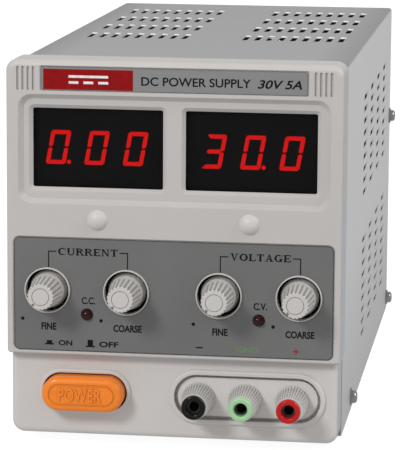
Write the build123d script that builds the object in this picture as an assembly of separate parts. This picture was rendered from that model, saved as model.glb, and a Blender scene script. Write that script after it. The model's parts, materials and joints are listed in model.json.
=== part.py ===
from build123d import *
import math
import os

# Bench DC power supply with two digital meters, four turning controls and three output posts.
# Working frame: X to the right, Y from the front panel to the back, Z up, in millimetres.
# Y = 0 is the front plane of the bezel's upper section and Z = 0 is the bezel's bottom edge.
# Every part is moved into the exported frame by `export_node`: origin on the resting surface,
# at the middle of the whole object's width and depth.

# ---------------------------------------------------------------- driving dimensions
BEZEL_WIDTH = 136.0
BEZEL_HEIGHT = 154.0
BEZEL_DEPTH = 18.0
FOOT_HEIGHT = 5.0
CASE_REAR = 281.5          # rear edge of the cover
COVER_HALF = 67.2          # half the cover's outside width
COVER_TOP = 151.6
COVER_BOTTOM = 0.4
COVER_BEND = 1.5           # outside radius of the cover's folds
SHEET = 1.0                # cover sheet
PLATE = 1.2                # chassis and rear panel sheet

# Bezel sections and recesses
STEP_Z = 34.2              # below this the bezel's face stands back
STEP_BACK = 4.5
WALL = 3.0
TOP_CORNER = 4.7             # radius of the bezel's two upper corners
FRONT_ROUND = 2.6            # rounding of the bezel's front edges
FRAME_SIZE = (125.8, 44.3)     # meter frame recess at the face
FRAME_Z = 118.1
FRAME_BEVEL = 2.0
FRAME_DEPTH = 2.2
WINDOW_SIZE = (52.8, 32.0)
WINDOW_X = 30.95
WINDOW_Z = 118.4
WINDOW_BEVEL = 1.5
WINDOW_DEPTH = 3.5             # where the bevel round each window ends
PANE = 2.0
STRIP_SIZE = (107.2, 9.6)
STRIP_GAP = 0.35               # clearance round the name strip in its pocket
STRIP_POCKET = 1.0             # depth of the pocket
STRIP_CORNER = 0.4
STRIP_Z = 146.6
OVERLAY_SIZE = (129.6, 46.4)
OVERLAY_CORNER = 2.4
OVERLAY_Z = 59.0
SKIN_RECESS = 0.6              # depth of the recesses for the overlay and the name strip
SKIN_FACE = 0.15               # the overlay's and strip's faces lie this far behind the bezel's face
PLUG_X = 30.75
PLUG_Z = 89.8

# Controls
KNOB_X = {"current_fine": -51.0, "current_coarse": -18.8, "voltage_fine": 18.8, "voltage_coarse": 51.0}
KNOB_Z = 60.7
KNOB_REACH = 15.0              # knob front, ahead of the bezel
KNOB_SKIRT = 7.7
KNOB_RING = 9.35
KNOB_HOLE = 8.85
KNOB_BACK = 6.0
KNOB_FLUTES = 20
POINTER_ANGLE = 228.0          # the pointer's direction at the anticlockwise stop
SHAFT_RADIUS = 3.0
LED_X = 34.9
LED_Z = 51.1
LED_RADIUS = 2.3

# Power button and output posts in the lower section
BUTTON_X = -36.4
BUTTON_Z = 18.4
BUTTON_SIZE = (33.4, 14.0)
BUTTON_HOLE = (34.8, 15.4)
BUTTON_RING = (37.8, 18.4)
BUTTON_REACH = 4.0
POSTS_X = 29.25
POSTS_Z = 16.9
POST_PITCH = 19.05
POST_PANEL_X = 30.1            # middle of the opening and the plate round the posts
POST_PANEL_Z = 17.9
POST_RING = (63.4, 22.4)
POST_HOLE = (59.6, 18.6)
POST_PLATE_SIZE = (57.0, 15.9)
POST_PLATE_FACE = 5.0
POST_REACH = 11.8
NOSE_RADIUS = 4.9
NOSE_LENGTH = 2.2              # visible length of the coloured nose
CAP_BASE = (6.8, 4.6)          # radius and depth of the knurled cap's back edge
CAP_TIP_RADIUS = 5.25
CAP_RIBS = 36
STUD_RADIUS = 3.0
STUD_FRONT = -8.0
SOCKET_RADIUS = 2.0
SOCKET_LENGTH = 15.0
POST_NAMES = {"negative": -1, "ground": 0, "positive": 1}

# Vent slots
SLOT_LENGTH = 19.4
SLOT_WIDTH = 2.5
SLOT_FLARE = 0.5               # the slots widen by this much over the outer part of the sheet
SLOT_PITCH = 5.27
SLOT_ROWS_Y = [124.0, 162.2, 200.4, 238.6]
SLOTS_PER_ROW = 9
TOP_BLOCK_X = 34.6
SIDE_BLOCKS_Z = [42.0, 105.6]

# Cover screws: depth and height on each side
COVER_SCREWS = [(61.5, 6.5), (276.0, 6.5), (276.0, 98.6)]
WASHER_RADIUS = 3.65
WASHER_THICKNESS = 0.8
SCREW_HEAD = (2.75, 2.1)       # radius and height

# Boards and rear panel
BOARD_Y = 15.2
BOARD_THICKNESS = 1.6
PANEL_OUT = 280.5              # rear panel's outside face
FAN_Z = 102.0
FAN_SIZE = 80.0
FAN_DEPTH = 25.0
FAN_BORE = 38.0
FAN_HOLES = 71.5
INLET_X = -36.0
INLET_Z = 33.0

REAR_REACH = 284.7             # fan screw heads
NEAR = 0.01                    # how close an edge must be to count as lying at a given place
FOOT_PLACES = [(x, y) for x in (-52.0, 52.0) for y in (54.0, 258.0)]


# ---------------------------------------------------------------- helpers
def slab(outline, near, far):
    """A front-view outline, drawn as X across and Z up, given depth from Y = near to Y = far."""
    plane = Plane(origin=(0, near, 0), x_dir=(1, 0, 0), z_dir=(0, -1, 0))
    return extrude(plane * outline, amount=far - near, dir=(0, 1, 0))


def taper(size_near, radius_near, size_far, radius_far, near, far, x=0.0, z=0.0):
    """A rounded rectangular plug that changes from one size to another between two depths."""
    ends = []
    for size, radius, depth in ((size_near, radius_near, near), (size_far, radius_far, far)):
        plane = Plane(origin=(x, depth, z), x_dir=(1, 0, 0), z_dir=(0, -1, 0))
        ends.append(plane * RectangleRounded(size[0], size[1], radius))
    return loft(Sketch() + ends)


def rod(x, z, near, far, radius):
    """A round bar along the depth axis."""
    return slab(Pos(x, z) * Circle(radius), near, far)


def turned(points, x=0.0, z=0.0):
    """A solid of revolution about a depth-wise axis, from (radius, depth) points."""
    return Pos(x, 0, z) * revolve(make_face(Polyline(*points, close=True)), axis=Axis.Y)


def block(x0, x1, y0, y1, z0, z1):
    """A box between two opposite corners."""
    return Pos((x0 + x1) / 2, (y0 + y1) / 2, (z0 + z1) / 2) * Box(x1 - x0, y1 - y0, z1 - z0)


def rims(shape, depth, radius):
    """The circular edges of a turned shape at one depth and radius."""
    found = []
    for edge in shape.edges().filter_by(GeomType.CIRCLE):
        if abs(edge.arc_center.Y - depth) < NEAR and abs(edge.radius - radius) < NEAR:
            found.append(edge)
    return found


def bundle(shapes):
    """Several separate solids as one node."""
    solids = []
    for shape in shapes:
        solids.extend(shape.solids())
    return Compound(solids)


def export_node(name, shape):
    """Writes one node, moved to the exported frame."""
    middle = (REAR_REACH - KNOB_REACH) / 2
    export_step(Pos(0, -middle, FOOT_HEIGHT) * shape, os.path.join("parts", name + ".step"))


# ---------------------------------------------------------------- front bezel
def upper_section():
    """The bezel's upper block: large top corners and a rounded front edge."""
    height = BEZEL_HEIGHT - STEP_Z
    outline = Pos(0, STEP_Z + height / 2) * Rectangle(BEZEL_WIDTH, height)
    outline = fillet(outline.vertices().sort_by(Axis.Y)[-2:], TOP_CORNER)
    body = slab(outline, 0, BEZEL_DEPTH)
    front = [e for e in body.edges() if abs(e.center().Y) < NEAR and e.center().Z > STEP_Z + 1]
    body = fillet(front, FRONT_ROUND)
    low = [e for e in body.edges() if abs(e.center().Z - STEP_Z) < NEAR]
    lip = [e for e in low if e.center().Y < BEZEL_DEPTH - 0.1]
    return fillet(lip, 0.9)


def lower_section():
    """The set-back lower block, a little narrower, with rounded bottom corners."""
    top = STEP_Z + 4
    outline = Pos(0, top / 2) * Rectangle(BEZEL_WIDTH - 2.2, top)
    outline = fillet(outline.vertices().sort_by(Axis.Y)[:2], 5.0)
    body = slab(outline, STEP_BACK, BEZEL_DEPTH)
    front = [e for e in body.edges() if abs(e.center().Y - STEP_BACK) < NEAR and e.center().Z < top - 1]
    return fillet(front, FRONT_ROUND)


def raised_ring(size, hole, x, z):
    """A rounded stadium collar that stands out of the lower section round an opening."""
    proud = 1.3
    collar = slab(Pos(x, z) * SlotOverall(*size), STEP_BACK - proud, STEP_BACK + 1)
    collar = fillet([e for e in collar.edges() if abs(e.center().Y - STEP_BACK + proud) < NEAR], 0.9)
    return collar - slab(Pos(x, z) * SlotOverall(*hole), -5, STEP_BACK + 2)


def front_bezel():
    body = upper_section() + lower_section()
    inner = BEZEL_WIDTH / 2 - WALL
    body -= block(-inner, inner, STEP_BACK + WALL, BEZEL_DEPTH + 1, WALL, STEP_Z + 1)
    body -= block(-inner, inner, WALL, BEZEL_DEPTH + 1, STEP_Z + 1, PLUG_Z + 3)
    body -= block(-inner, inner, 8.5, BEZEL_DEPTH + 1, PLUG_Z + 2, BEZEL_HEIGHT - WALL)
    # Meter frame and its two windows
    floor = (FRAME_SIZE[0] - 2 * FRAME_BEVEL, FRAME_SIZE[1] - 2 * FRAME_BEVEL)
    body -= taper(FRAME_SIZE, 5.5, floor, 3.8, 0, FRAME_DEPTH, z=FRAME_Z)
    for side in (-1, 1):
        x = side * WINDOW_X
        rim = (WINDOW_SIZE[0] + 2 * WINDOW_BEVEL, WINDOW_SIZE[1] + 2 * WINDOW_BEVEL)
        body -= taper(rim, 2.2, WINDOW_SIZE, 0.8, FRAME_DEPTH, WINDOW_DEPTH, x, WINDOW_Z)
        body -= slab(Pos(x, WINDOW_Z) * RectangleRounded(*WINDOW_SIZE, 0.8), WINDOW_DEPTH - 0.01, 9)
        body -= slab(Pos(x, WINDOW_Z) * Rectangle(*pane_pocket()), WINDOW_DEPTH + 0.4, 9)
    # Shallow recesses for the name strip and the overlay, each with a bevelled edge
    for size, corner, z in ((STRIP_SIZE, STRIP_CORNER, STRIP_Z), (OVERLAY_SIZE, OVERLAY_CORNER, OVERLAY_Z)):
        wide = (size[0] + 1.2, size[1] + 1.0)
        body -= taper(wide, corner + 0.5, size, corner, 0, SKIN_RECESS, z=z)
    body -= slab(Pos(0, STRIP_Z) * RectangleRounded(*STRIP_SIZE, STRIP_CORNER), 0, STRIP_POCKET)
    # Decorative upright grooves either side of the strip
    groove = RectangleRounded(1.1, STRIP_SIZE[1], 0.5)
    for side in (-1, 1):
        for number in range(4):
            body -= slab(Pos(side * (56.6 + 2.1 * number), STRIP_Z) * groove, -1, 0.8)
    # Control openings with raised lips
    for x in KNOB_X.values():
        lip = turned([(KNOB_HOLE, -1.2), (KNOB_RING, -1.2), (KNOB_RING, 2), (KNOB_HOLE, 2)], x, KNOB_Z)
        body += fillet(rims(lip, -1.2, KNOB_RING), 0.3)
        body -= rod(x, KNOB_Z, -2, WALL + 1, KNOB_HOLE)
    for side in (-1, 1):
        body -= rod(side * LED_X, LED_Z, -1, WALL + 1, LED_RADIUS + 0.15)
        body -= rod(side * PLUG_X, PLUG_Z, -1, WALL + 1, 2.0)
    # Lower openings
    for ring, hole, x, z in ((BUTTON_RING, BUTTON_HOLE, BUTTON_X, BUTTON_Z),
                             (POST_RING, POST_HOLE, POST_PANEL_X, POST_PANEL_Z)):
        body += raised_ring(ring, hole, x, z)
        body -= slab(Pos(x, z) * SlotOverall(*hole), 0, 12)
    # Bosses with staked pins that hold the front board
    for x, z in board_bosses():
        start = 8 if z > PLUG_Z else WALL - 0.5
        body += rod(x, z, start, BOARD_Y, 3.0) + rod(x, z, BOARD_Y - 1, BOARD_Y + BOARD_THICKNESS + 0.8, 1.4)
    return body


def pane_pocket():
    return (WINDOW_SIZE[0] + 2.4, WINDOW_SIZE[1] + 2.4)


def board_bosses():
    return [(x, z) for x in (-61.0, 61.0) for z in (44.5, 141.5)]


def window_pane(side):
    wide, high = pane_pocket()
    outline = Pos(side * WINDOW_X, WINDOW_Z) * Rectangle(wide - 0.2, high - 0.2)
    return slab(outline, WINDOW_DEPTH + 0.4, WINDOW_DEPTH + 0.4 + PANE)


def name_strip():
    wide, high = STRIP_SIZE[0] - 2 * STRIP_GAP, STRIP_SIZE[1] - 2 * STRIP_GAP
    return slab(Pos(0, STRIP_Z) * RectangleRounded(wide, high, STRIP_CORNER / 2), SKIN_FACE, STRIP_POCKET)


def control_overlay():
    wide, high = OVERLAY_SIZE[0] - 0.2, OVERLAY_SIZE[1] - 0.2
    skin = slab(Pos(0, OVERLAY_Z) * RectangleRounded(wide, high, OVERLAY_CORNER - 0.1), SKIN_FACE, SKIN_RECESS)
    for x in KNOB_X.values():
        skin -= rod(x, KNOB_Z, -1, 1, KNOB_RING + 0.1)
    for side in (-1, 1):
        skin -= rod(side * LED_X, LED_Z, -1, 1, LED_RADIUS + 0.2)
    return skin


def blind_plugs():
    """Domed plugs that close the two trimmer holes."""
    radius = 4.2
    rise = 2.3
    ball = (radius ** 2 + rise ** 2) / (2 * rise)
    plug = rod(0, 0, -rise - 1, 0, radius) & Pos(0, ball - rise, 0) * Sphere(ball)
    plug += rod(0, 0, -0.5, 6, 1.9)
    return bundle([Pos(side * PLUG_X, 0, PLUG_Z) * plug for side in (-1, 1)])


def indicator_leds():
    """Two 5 mm lamps with flanges and leads that reach the board."""
    lamps = []
    for side in (-1, 1):
        x = side * LED_X
        lamp = rod(x, LED_Z, 0, 6.2, LED_RADIUS) + Pos(x, 0, LED_Z) * Sphere(LED_RADIUS)
        lamp += rod(x, LED_Z, 5.2, 6.2, 2.9)
        for lead in (-1.27, 1.27):
            lamp += block(x + lead - 0.25, x + lead + 0.25, 6, BOARD_Y, LED_Z - 0.25, LED_Z + 0.25)
        lamps.append(lamp)
    return bundle(lamps)


# ---------------------------------------------------------------- controls
def flute_cutters(near, far, number, radius, lift):
    """Round cutters along a cone's surface, from one (radius, depth) point to another, spread round it."""
    slope = math.degrees(math.atan2(near[0] - far[0], far[1] - near[1]))
    length = math.hypot(near[0] - far[0], near[1] - far[1])
    middle = ((near[0] + far[0]) / 2 + lift, (near[1] + far[1]) / 2)
    cutter = Pos(middle[0], middle[1], 0) * Rot(0, 0, slope) * Rot(90, 0, 0) * Cylinder(radius, length)
    return [Rot(0, 360 / number * step, 0) * cutter for step in range(number)]


def knob():
    """A fluted, tapering knob with a smooth skirt, a toothed front rim, a centre cap and a pointer notch."""
    front = -KNOB_REACH
    shoulder, neck, base, tip = 2.4, (7.1, 0.6), (6.7, -2.0), (5.35, front)
    profile = [(0, KNOB_BACK), (KNOB_SKIRT, KNOB_BACK), (KNOB_SKIRT, shoulder), neck, base, tip, (0, front)]
    body = turned(profile)
    body = fillet(rims(body, shoulder, KNOB_SKIRT) + rims(body, front, tip[0]), 0.5)
    # A fine groove sets off the flat centre cap
    body -= turned([(3.3, front - 1), (3.56, front - 1), (3.56, front + 0.6), (3.3, front + 0.6)])
    body -= flute_cutters((tip[0], front - 0.3), (base[0], base[1] - 1.2), KNOB_FLUTES, 0.62, 0.14)
    # Socket for the shaft, open at the back
    bore = SHAFT_RADIUS + 0.02
    body -= turned([(0, KNOB_BACK + 1), (bore, KNOB_BACK + 1), (bore, -9), (0, -9)])
    notch = block(3.9, 6.5, front - 1, front + 1.1, -0.55, 0.55)
    body -= Rot(0, -POINTER_ANGLE, 0) * notch
    return body


def pot_shaft():
    """A control shaft from inside the knob to inside the potentiometer."""
    tip, tail, chamfer = -8.9, 19.4, 0.3
    nose = [(0, tip), (SHAFT_RADIUS - chamfer, tip), (SHAFT_RADIUS, tip + chamfer)]
    return turned(nose + [(SHAFT_RADIUS, tail), (0, tail)])


def potentiometers():
    """Four potentiometer bodies with threaded bushings through the front board."""
    bodies = []
    rear = BOARD_Y + BOARD_THICKNESS
    for x in KNOB_X.values():
        body = rod(x, KNOB_Z, rear, rear + 9, 8.2) + rod(x, KNOB_Z, 7.6, rear + 1, 3.5)
        body += block(x - 6, x + 6, rear + 2, rear + 3.6, KNOB_Z - 14.5, KNOB_Z)
        body -= rod(x, KNOB_Z, 7, rear + 3, SHAFT_RADIUS + 0.05)
        bodies.append(body)
    return bundle(bodies)


def potentiometer_nuts():
    nuts = []
    for x in KNOB_X.values():
        nut = slab(Pos(x, KNOB_Z) * RegularPolygon(5.6, 6), BOARD_Y - 2, BOARD_Y)
        nuts.append(nut - rod(x, KNOB_Z, BOARD_Y - 3, BOARD_Y + 1, 3.52))
    return bundle(nuts)


def front_board():
    """Board behind the bezel that carries the meters, the lamps and the potentiometers."""
    board = slab(Pos(0, 92.5) * Rectangle(128, 104), BOARD_Y, BOARD_Y + BOARD_THICKNESS)
    for x, z in board_bosses():
        board -= rod(x, z, BOARD_Y - 1, BOARD_Y + 3, 1.5)
    for x in KNOB_X.values():
        board -= rod(x, KNOB_Z, BOARD_Y - 1, BOARD_Y + 3, 3.6)
    return board


def display_modules():
    """Two three-digit LED meter blocks between the panes and the board."""
    front = WINDOW_DEPTH + 0.4 + PANE + 0.2
    size = Rectangle(52.4, 31.6)
    return bundle([slab(Pos(side * WINDOW_X, WINDOW_Z) * size, front, BOARD_Y) for side in (-1, 1)])


# ---------------------------------------------------------------- power button and switch
def power_button():
    """A stadium-shaped cap with a rounded front edge, a shallow groove and a hollow back."""
    outline = Pos(BUTTON_X, BUTTON_Z) * SlotOverall(*BUTTON_SIZE)
    cap = slab(outline, -BUTTON_REACH, 9)
    cap = fillet([e for e in cap.edges() if abs(e.center().Y + BUTTON_REACH) < NEAR], 2.2)
    groove = SlotOverall(27.6, 9.0) - SlotOverall(25.8, 7.2)
    cap -= slab(Pos(BUTTON_X, BUTTON_Z) * groove, -BUTTON_REACH - 1, -BUTTON_REACH + 0.35)
    cap -= block(BUTTON_X - 13, BUTTON_X + 13, 2, 10, BUTTON_Z - 5, BUTTON_Z + 5)
    return cap + block(BUTTON_X - 4, BUTTON_X + 4, 1, 9, BUTTON_Z - 4, BUTTON_Z + 4)


def switch_plunger():
    return block(BUTTON_X - 2.5, BUTTON_X + 2.5, 9, 42, BUTTON_Z - 2.5, BUTTON_Z + 2.5)


def power_switch():
    """A push-push mains switch on a foot, with a square well for the plunger and tabs behind."""
    x, z = BUTTON_X, BUTTON_Z
    body = block(x - 9, x + 9, 34, 58, 4.6, z + 9) + block(x - 12, x + 12, 36, 56, 1.4, 4.6)
    body -= block(x - 2.6, x + 2.6, 33, 42.4, z - 2.6, z + 2.6)
    for side in (-1, 1):
        for high in (-4, 4):
            tab = block(x + side * 5 - 0.4, x + side * 5 + 0.4, 57, 64, z + high - 2, z + high + 2)
            body += tab
    return body


# ---------------------------------------------------------------- output posts
def post_places():
    return {name: POSTS_X + step * POST_PITCH for name, step in POST_NAMES.items()}


def post_plate():
    """The insulating plate behind the lower opening, held from behind by a wider flange."""
    back = STEP_BACK + WALL
    plate = slab(Pos(POST_PANEL_X, POST_PANEL_Z) * SlotOverall(*POST_PLATE_SIZE), POST_PLATE_FACE, back + 2)
    plate += slab(Pos(POST_PANEL_X, POST_PANEL_Z) * SlotOverall(63.5, 22.5), back, back + 2)
    for x in post_places().values():
        plate -= rod(x, POSTS_Z, 0, 12, STUD_RADIUS + 0.02)
    return plate


def post_stud(x):
    """A threaded metal stud with a 4 mm socket bored in its front end."""
    stud = turned([(0, STUD_FRONT), (STUD_RADIUS, STUD_FRONT), (STUD_RADIUS, 24), (0, 24)], x, POSTS_Z)
    return stud - rod(x, POSTS_Z, STUD_FRONT - 1, STUD_FRONT + SOCKET_LENGTH, SOCKET_RADIUS)


def post_ring(x):
    """The coloured nose of a post: a flush ring with a plug mouth and a sleeve inside the cap."""
    front = -POST_REACH
    back = front + NOSE_LENGTH
    mouth, bore, sleeve = 2.7, STUD_RADIUS + 0.1, 3.9
    seat = STUD_FRONT - 0.2
    outside = [(mouth, front), (NOSE_RADIUS, front), (NOSE_RADIUS, back), (sleeve, back)]
    profile = outside + [(sleeve, -1), (bore, -1), (bore, seat), (mouth, seat)]
    ring = turned(profile)
    ring = fillet(rims(ring, front, NOSE_RADIUS) + rims(ring, front, mouth), 0.8)
    return Pos(x, 0, POSTS_Z) * ring


def post_cap(x):
    """The knurled, tapering clamp nut of a post."""
    front = -POST_REACH + NOSE_LENGTH + 0.1
    edge, tip = (CAP_BASE[0], CAP_BASE[1] - 1.0), (CAP_TIP_RADIUS, front)
    bore, seat = STUD_RADIUS + 0.1, 3.98
    profile = [(bore, CAP_BASE[1]), CAP_BASE, edge, tip, (seat, front), (seat, -0.9), (bore, -0.9)]
    cap = turned(profile)
    cap = fillet(rims(cap, front, CAP_TIP_RADIUS), 0.4)
    cap -= flute_cutters((tip[0], front - 0.4), (edge[0], edge[1] + 1.6), CAP_RIBS, 0.40, 0.06)
    return Pos(x, 0, POSTS_Z) * cap


def post_nuts():
    nuts = []
    face = STEP_BACK + WALL + 2
    for x in post_places().values():
        nut = slab(Pos(x, POSTS_Z) * RegularPolygon(5.7, 6), face, face + 3.2)
        nuts.append(nut - rod(x, POSTS_Z, face - 1, face + 5, STUD_RADIUS + 0.02))
    return bundle(nuts)


# ---------------------------------------------------------------- case
def slot_block(middle):
    """Centres of one block of vent slots across its width."""
    start = -(SLOTS_PER_ROW - 1) / 2
    return [middle + SLOT_PITCH * (start + number) for number in range(SLOTS_PER_ROW)]


def slot_cutter():
    """One vent slot along X through a sheet whose outside face is Z = 0, flared towards the outside."""
    flare = extrude(SlotOverall(SLOT_LENGTH, SLOT_WIDTH), amount=2 * SLOT_FLARE, taper=-45)
    narrow = extrude(SlotOverall(SLOT_LENGTH, SLOT_WIDTH), amount=4 * SHEET, both=True)
    return Pos(0, 0, -SLOT_FLARE) * flare + narrow


def top_cover():
    """A folded U-shaped cover with blocks of long vent slots in its top and both sides."""
    height = COVER_TOP - COVER_BOTTOM + 20
    outer = Pos(0, COVER_TOP - height / 2) * RectangleRounded(2 * COVER_HALF, height, COVER_BEND)
    wide = 2 * (COVER_HALF - SHEET)
    inner = Pos(0, COVER_TOP - SHEET - height / 2) * RectangleRounded(wide, height, COVER_BEND - SHEET + 0.1)
    outline = outer - inner - Pos(0, COVER_BOTTOM - 20) * Rectangle(200, 40)
    cover = slab(outline, BEZEL_DEPTH, CASE_REAR)
    slot = slot_cutter()
    top = Plane(origin=(0, 0, COVER_TOP), x_dir=(0, 1, 0), z_dir=(0, 0, 1))
    right = Plane(origin=(COVER_HALF, 0, 0), x_dir=(0, 1, 0), z_dir=(1, 0, 0))
    left = Plane(origin=(-COVER_HALF, 0, 0), x_dir=(0, -1, 0), z_dir=(-1, 0, 0))
    cutters = []
    for y in SLOT_ROWS_Y:
        for side in (-1, 1):
            cutters += [top * Pos(y, -x, 0) * slot for x in slot_block(side * TOP_BLOCK_X)]
        for middle in SIDE_BLOCKS_Z:
            for z in slot_block(middle):
                cutters += [right * Pos(y, z, 0) * slot, left * Pos(-y, z, 0) * slot]
    cover -= cutters
    holes = Sketch() + [Pos(y, z) * Circle(1.7) for y, z in COVER_SCREWS]
    across = Plane(origin=(0, 0, 0), x_dir=(0, 1, 0), z_dir=(1, 0, 0))
    return cover - extrude(across * holes, amount=COVER_HALF + 5, both=True)


def side_bar(y, z, near, far, radius, side):
    """A round bar along X on one side of the case, from half-width near to far."""
    plane = Plane(origin=(side * near, y, z), x_dir=(0, 1, 0), z_dir=(side, 0, 0))
    return extrude(plane * Circle(radius), amount=far - near)


def base_chassis():
    """The bottom tray with low side flanges, a front lip and standoffs for the main board."""
    half = COVER_HALF - SHEET - 0.2
    low = 0.2
    tray = block(-half, half, BEZEL_DEPTH, PANEL_OUT, low, low + PLATE)
    for side in (-1, 1):
        inner, outer = sorted((side * (half - PLATE), side * half))
        tray += block(inner, outer, BEZEL_DEPTH, 262, low, 13)
    tray += block(-half, half, BEZEL_DEPTH, BEZEL_DEPTH + PLATE, low, 6.5)
    for x, y in standoff_places():
        tray += Pos(x, y, (low + PLATE + 9) / 2) * Cylinder(3, 9 - low - PLATE)
    for side in (-1, 1):
        tray -= side_bar(61.5, 6.5, half - 3, half + 1, 1.5, side)
    for x, y in FOOT_PLACES:
        tray -= Pos(x, y, low) * Cylinder(2.5, 6)
    return tray


def standoff_places():
    return [(x, y) for x in (-55.0, 55.0) for y in (155.0, 240.0)]


def rubber_feet():
    """Four push-in rubber feet: a tapered pad with a barbed stem through the tray."""
    pad = [(0, -FOOT_HEIGHT), (6.4, -FOOT_HEIGHT), (7.4, 0.2)]
    profile = pad + [(2.45, 0.2), (2.45, 1.4), (3.2, 1.5), (1.6, 4), (0, 4)]
    feet = []
    for x, y in FOOT_PLACES:
        feet.append(Pos(x, y, 0) * revolve(make_face(Plane.XZ * Polyline(*profile, close=True)), axis=Axis.Z))
    return bundle(feet)


def rear_panel():
    """The rear sheet with folded side flanges, a fan opening and a mains inlet opening."""
    half = COVER_HALF - SHEET - 0.3
    top = COVER_TOP - SHEET - 0.6
    panel = block(-half, half, PANEL_OUT - PLATE, PANEL_OUT, 1.4, top)
    for side in (-1, 1):
        inner, outer = sorted((side * (half - PLATE), side * half))
        panel += block(inner, outer, 264, PANEL_OUT, 1.4, top)
    panel -= rod(0, FAN_Z, 270, 290, FAN_BORE - 1)
    for x, z in fan_corners():
        panel -= rod(x, z, 270, 290, 2.2)
    panel -= slab(Pos(INLET_X, INLET_Z) * Rectangle(28.4, 34.4), 270, 290)
    for side in (-1, 1):
        for y, z in COVER_SCREWS[1:]:
            panel -= side_bar(y, z, half - 3, half + 1, 1.5, side)
    return panel


def cover_screw_places():
    return [(side, y, z) for side in (-1, 1) for y, z in COVER_SCREWS]


def cross_recess(depth):
    """A Phillips recess cutter, opening towards +X from the origin."""
    cross = Box(2 * depth, 3.4, 0.8) + Box(2 * depth, 0.8, 3.4)
    return cross + Rot(0, 90, 0) * Cone(0.4, 1.1, 2 * depth)


def cover_screws():
    """Pan-head screws through the washers, the cover and the flange behind it."""
    screws = []
    for side, y, z in cover_screw_places():
        face = COVER_HALF + WASHER_THICKNESS
        crown = side * (face + SCREW_HEAD[1])
        head = side_bar(y, z, face, face + SCREW_HEAD[1], SCREW_HEAD[0], side)
        rim = [e for e in head.edges().filter_by(GeomType.CIRCLE) if abs(e.arc_center.X - crown) < NEAR]
        head = fillet(rim, 1.3)
        head -= Pos(crown, y, z) * Rot(0, 0 if side > 0 else 180, 0) * cross_recess(1.1)
        screws.append(head + side_bar(y, z, COVER_HALF - 5, face + 0.2, 1.48, side))
    return bundle(screws)


def cover_washers():
    washers = []
    for side, y, z in cover_screw_places():
        washer = side_bar(y, z, COVER_HALF, COVER_HALF + WASHER_THICKNESS, WASHER_RADIUS, side)
        washers.append(washer - side_bar(y, z, COVER_HALF - 1, COVER_HALF + 2, 1.6, side))
    return bundle(washers)


# ---------------------------------------------------------------- fan
def fan_corners():
    step = FAN_HOLES / 2
    return [(x, FAN_Z + z) for x in (-step, step) for z in (-step, step)]


def fan_frame():
    """A square fan housing with a round duct and four struts that hold the motor seat."""
    rear = PANEL_OUT - PLATE
    front = rear - FAN_DEPTH
    body = slab(Pos(0, FAN_Z) * RectangleRounded(FAN_SIZE, FAN_SIZE, 4), front, rear)
    body -= rod(0, FAN_Z, front - 1, rear + 1, FAN_BORE)
    for angle in (45, 135):
        strut = Pos(0, FAN_Z) * Rot(0, 0, angle) * Rectangle(2 * FAN_BORE + 2, 3)
        body += slab(strut, front, front + 3)
    body += rod(0, FAN_Z, front, front + 3.5, 15)
    body -= rod(0, FAN_Z, front - 1, front + 4, 1.55)
    for x, z in fan_corners():
        body -= rod(x, z, front - 1, rear + 1, 1.9)
    return body


def fan_rotor():
    """A hub with seven pitched blades and a short shaft."""
    rear = PANEL_OUT - PLATE
    front = rear - FAN_DEPTH + 4.0
    hub = rod(0, FAN_Z, front, rear - 1.5, 15)
    hub = fillet(rims(hub, rear - 1.5, 15), 1.2)
    ring = rod(0, FAN_Z, front + 0.5, rear - 2.5, FAN_BORE - 1.2)
    blade = Pos(25.5, 0, 0) * Rot(38, 0, 0) * Box(25, 1.4, 24)
    blades = []
    for number in range(7):
        placed = Pos(0, (front + rear) / 2 - 1, FAN_Z) * Rot(0, 360 / 7 * number, 0) * blade
        blades.append(placed & ring)
    rotor = hub
    for piece in blades:
        rotor += piece
    return rotor + rod(0, FAN_Z, front - 4, front + 1, 1.5)


def fan_guard():
    """A wire finger guard: rings joined by two diagonal arms that end in four eyelets."""
    wire = 0.8
    near = PANEL_OUT + wire
    guard = None
    for radius in (9.0, 17.0, 25.0, 33.0, 39.5):
        ring = Pos(0, near + 1.3, FAN_Z) * Rot(90, 0, 0) * Torus(radius, wire)
        guard = ring if guard is None else guard + ring
    reach = FAN_HOLES / 2 * math.sqrt(2)
    for angle in (45, 135):
        arm = Pos(0, near, FAN_Z) * Rot(0, angle, 0) * Rot(0, 90, 0) * Cylinder(wire, 2 * reach - 6)
        guard += arm
    for x, z in fan_corners():
        guard += rod(x, z, PANEL_OUT, PANEL_OUT + 1.6, 4.2) - rod(x, z, PANEL_OUT - 1, PANEL_OUT + 3, 2.1)
    return guard


def fan_screws():
    screws = []
    for x, z in fan_corners():
        head = rod(x, z, PANEL_OUT + 1.6, REAR_REACH, 3.7)
        head = fillet(rims(head, REAR_REACH, 3.7), 1.6)
        recess = Pos(x, REAR_REACH, z) * Rot(0, 0, 90) * cross_recess(1.3)
        screws.append(head - recess + rod(x, z, PANEL_OUT - 18, PANEL_OUT + 2, 1.85))
    return bundle(screws)


# ---------------------------------------------------------------- mains inlet
DRAWER_Z = INLET_Z + 12.0
MOUTH_Z = INLET_Z - 5.0


def mouth_outline(width, height, cut):
    """The six-sided outline of the inlet, with its two lower corners cut off."""
    half, low, high = width / 2, -height / 2, height / 2
    points = [(-half, high), (half, high), (half, low + cut), (half - cut, low)]
    points += [(-half + cut, low), (-half, low + cut)]
    return Pos(INLET_X, MOUTH_Z) * make_face(Polyline(*points, close=True))


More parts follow.
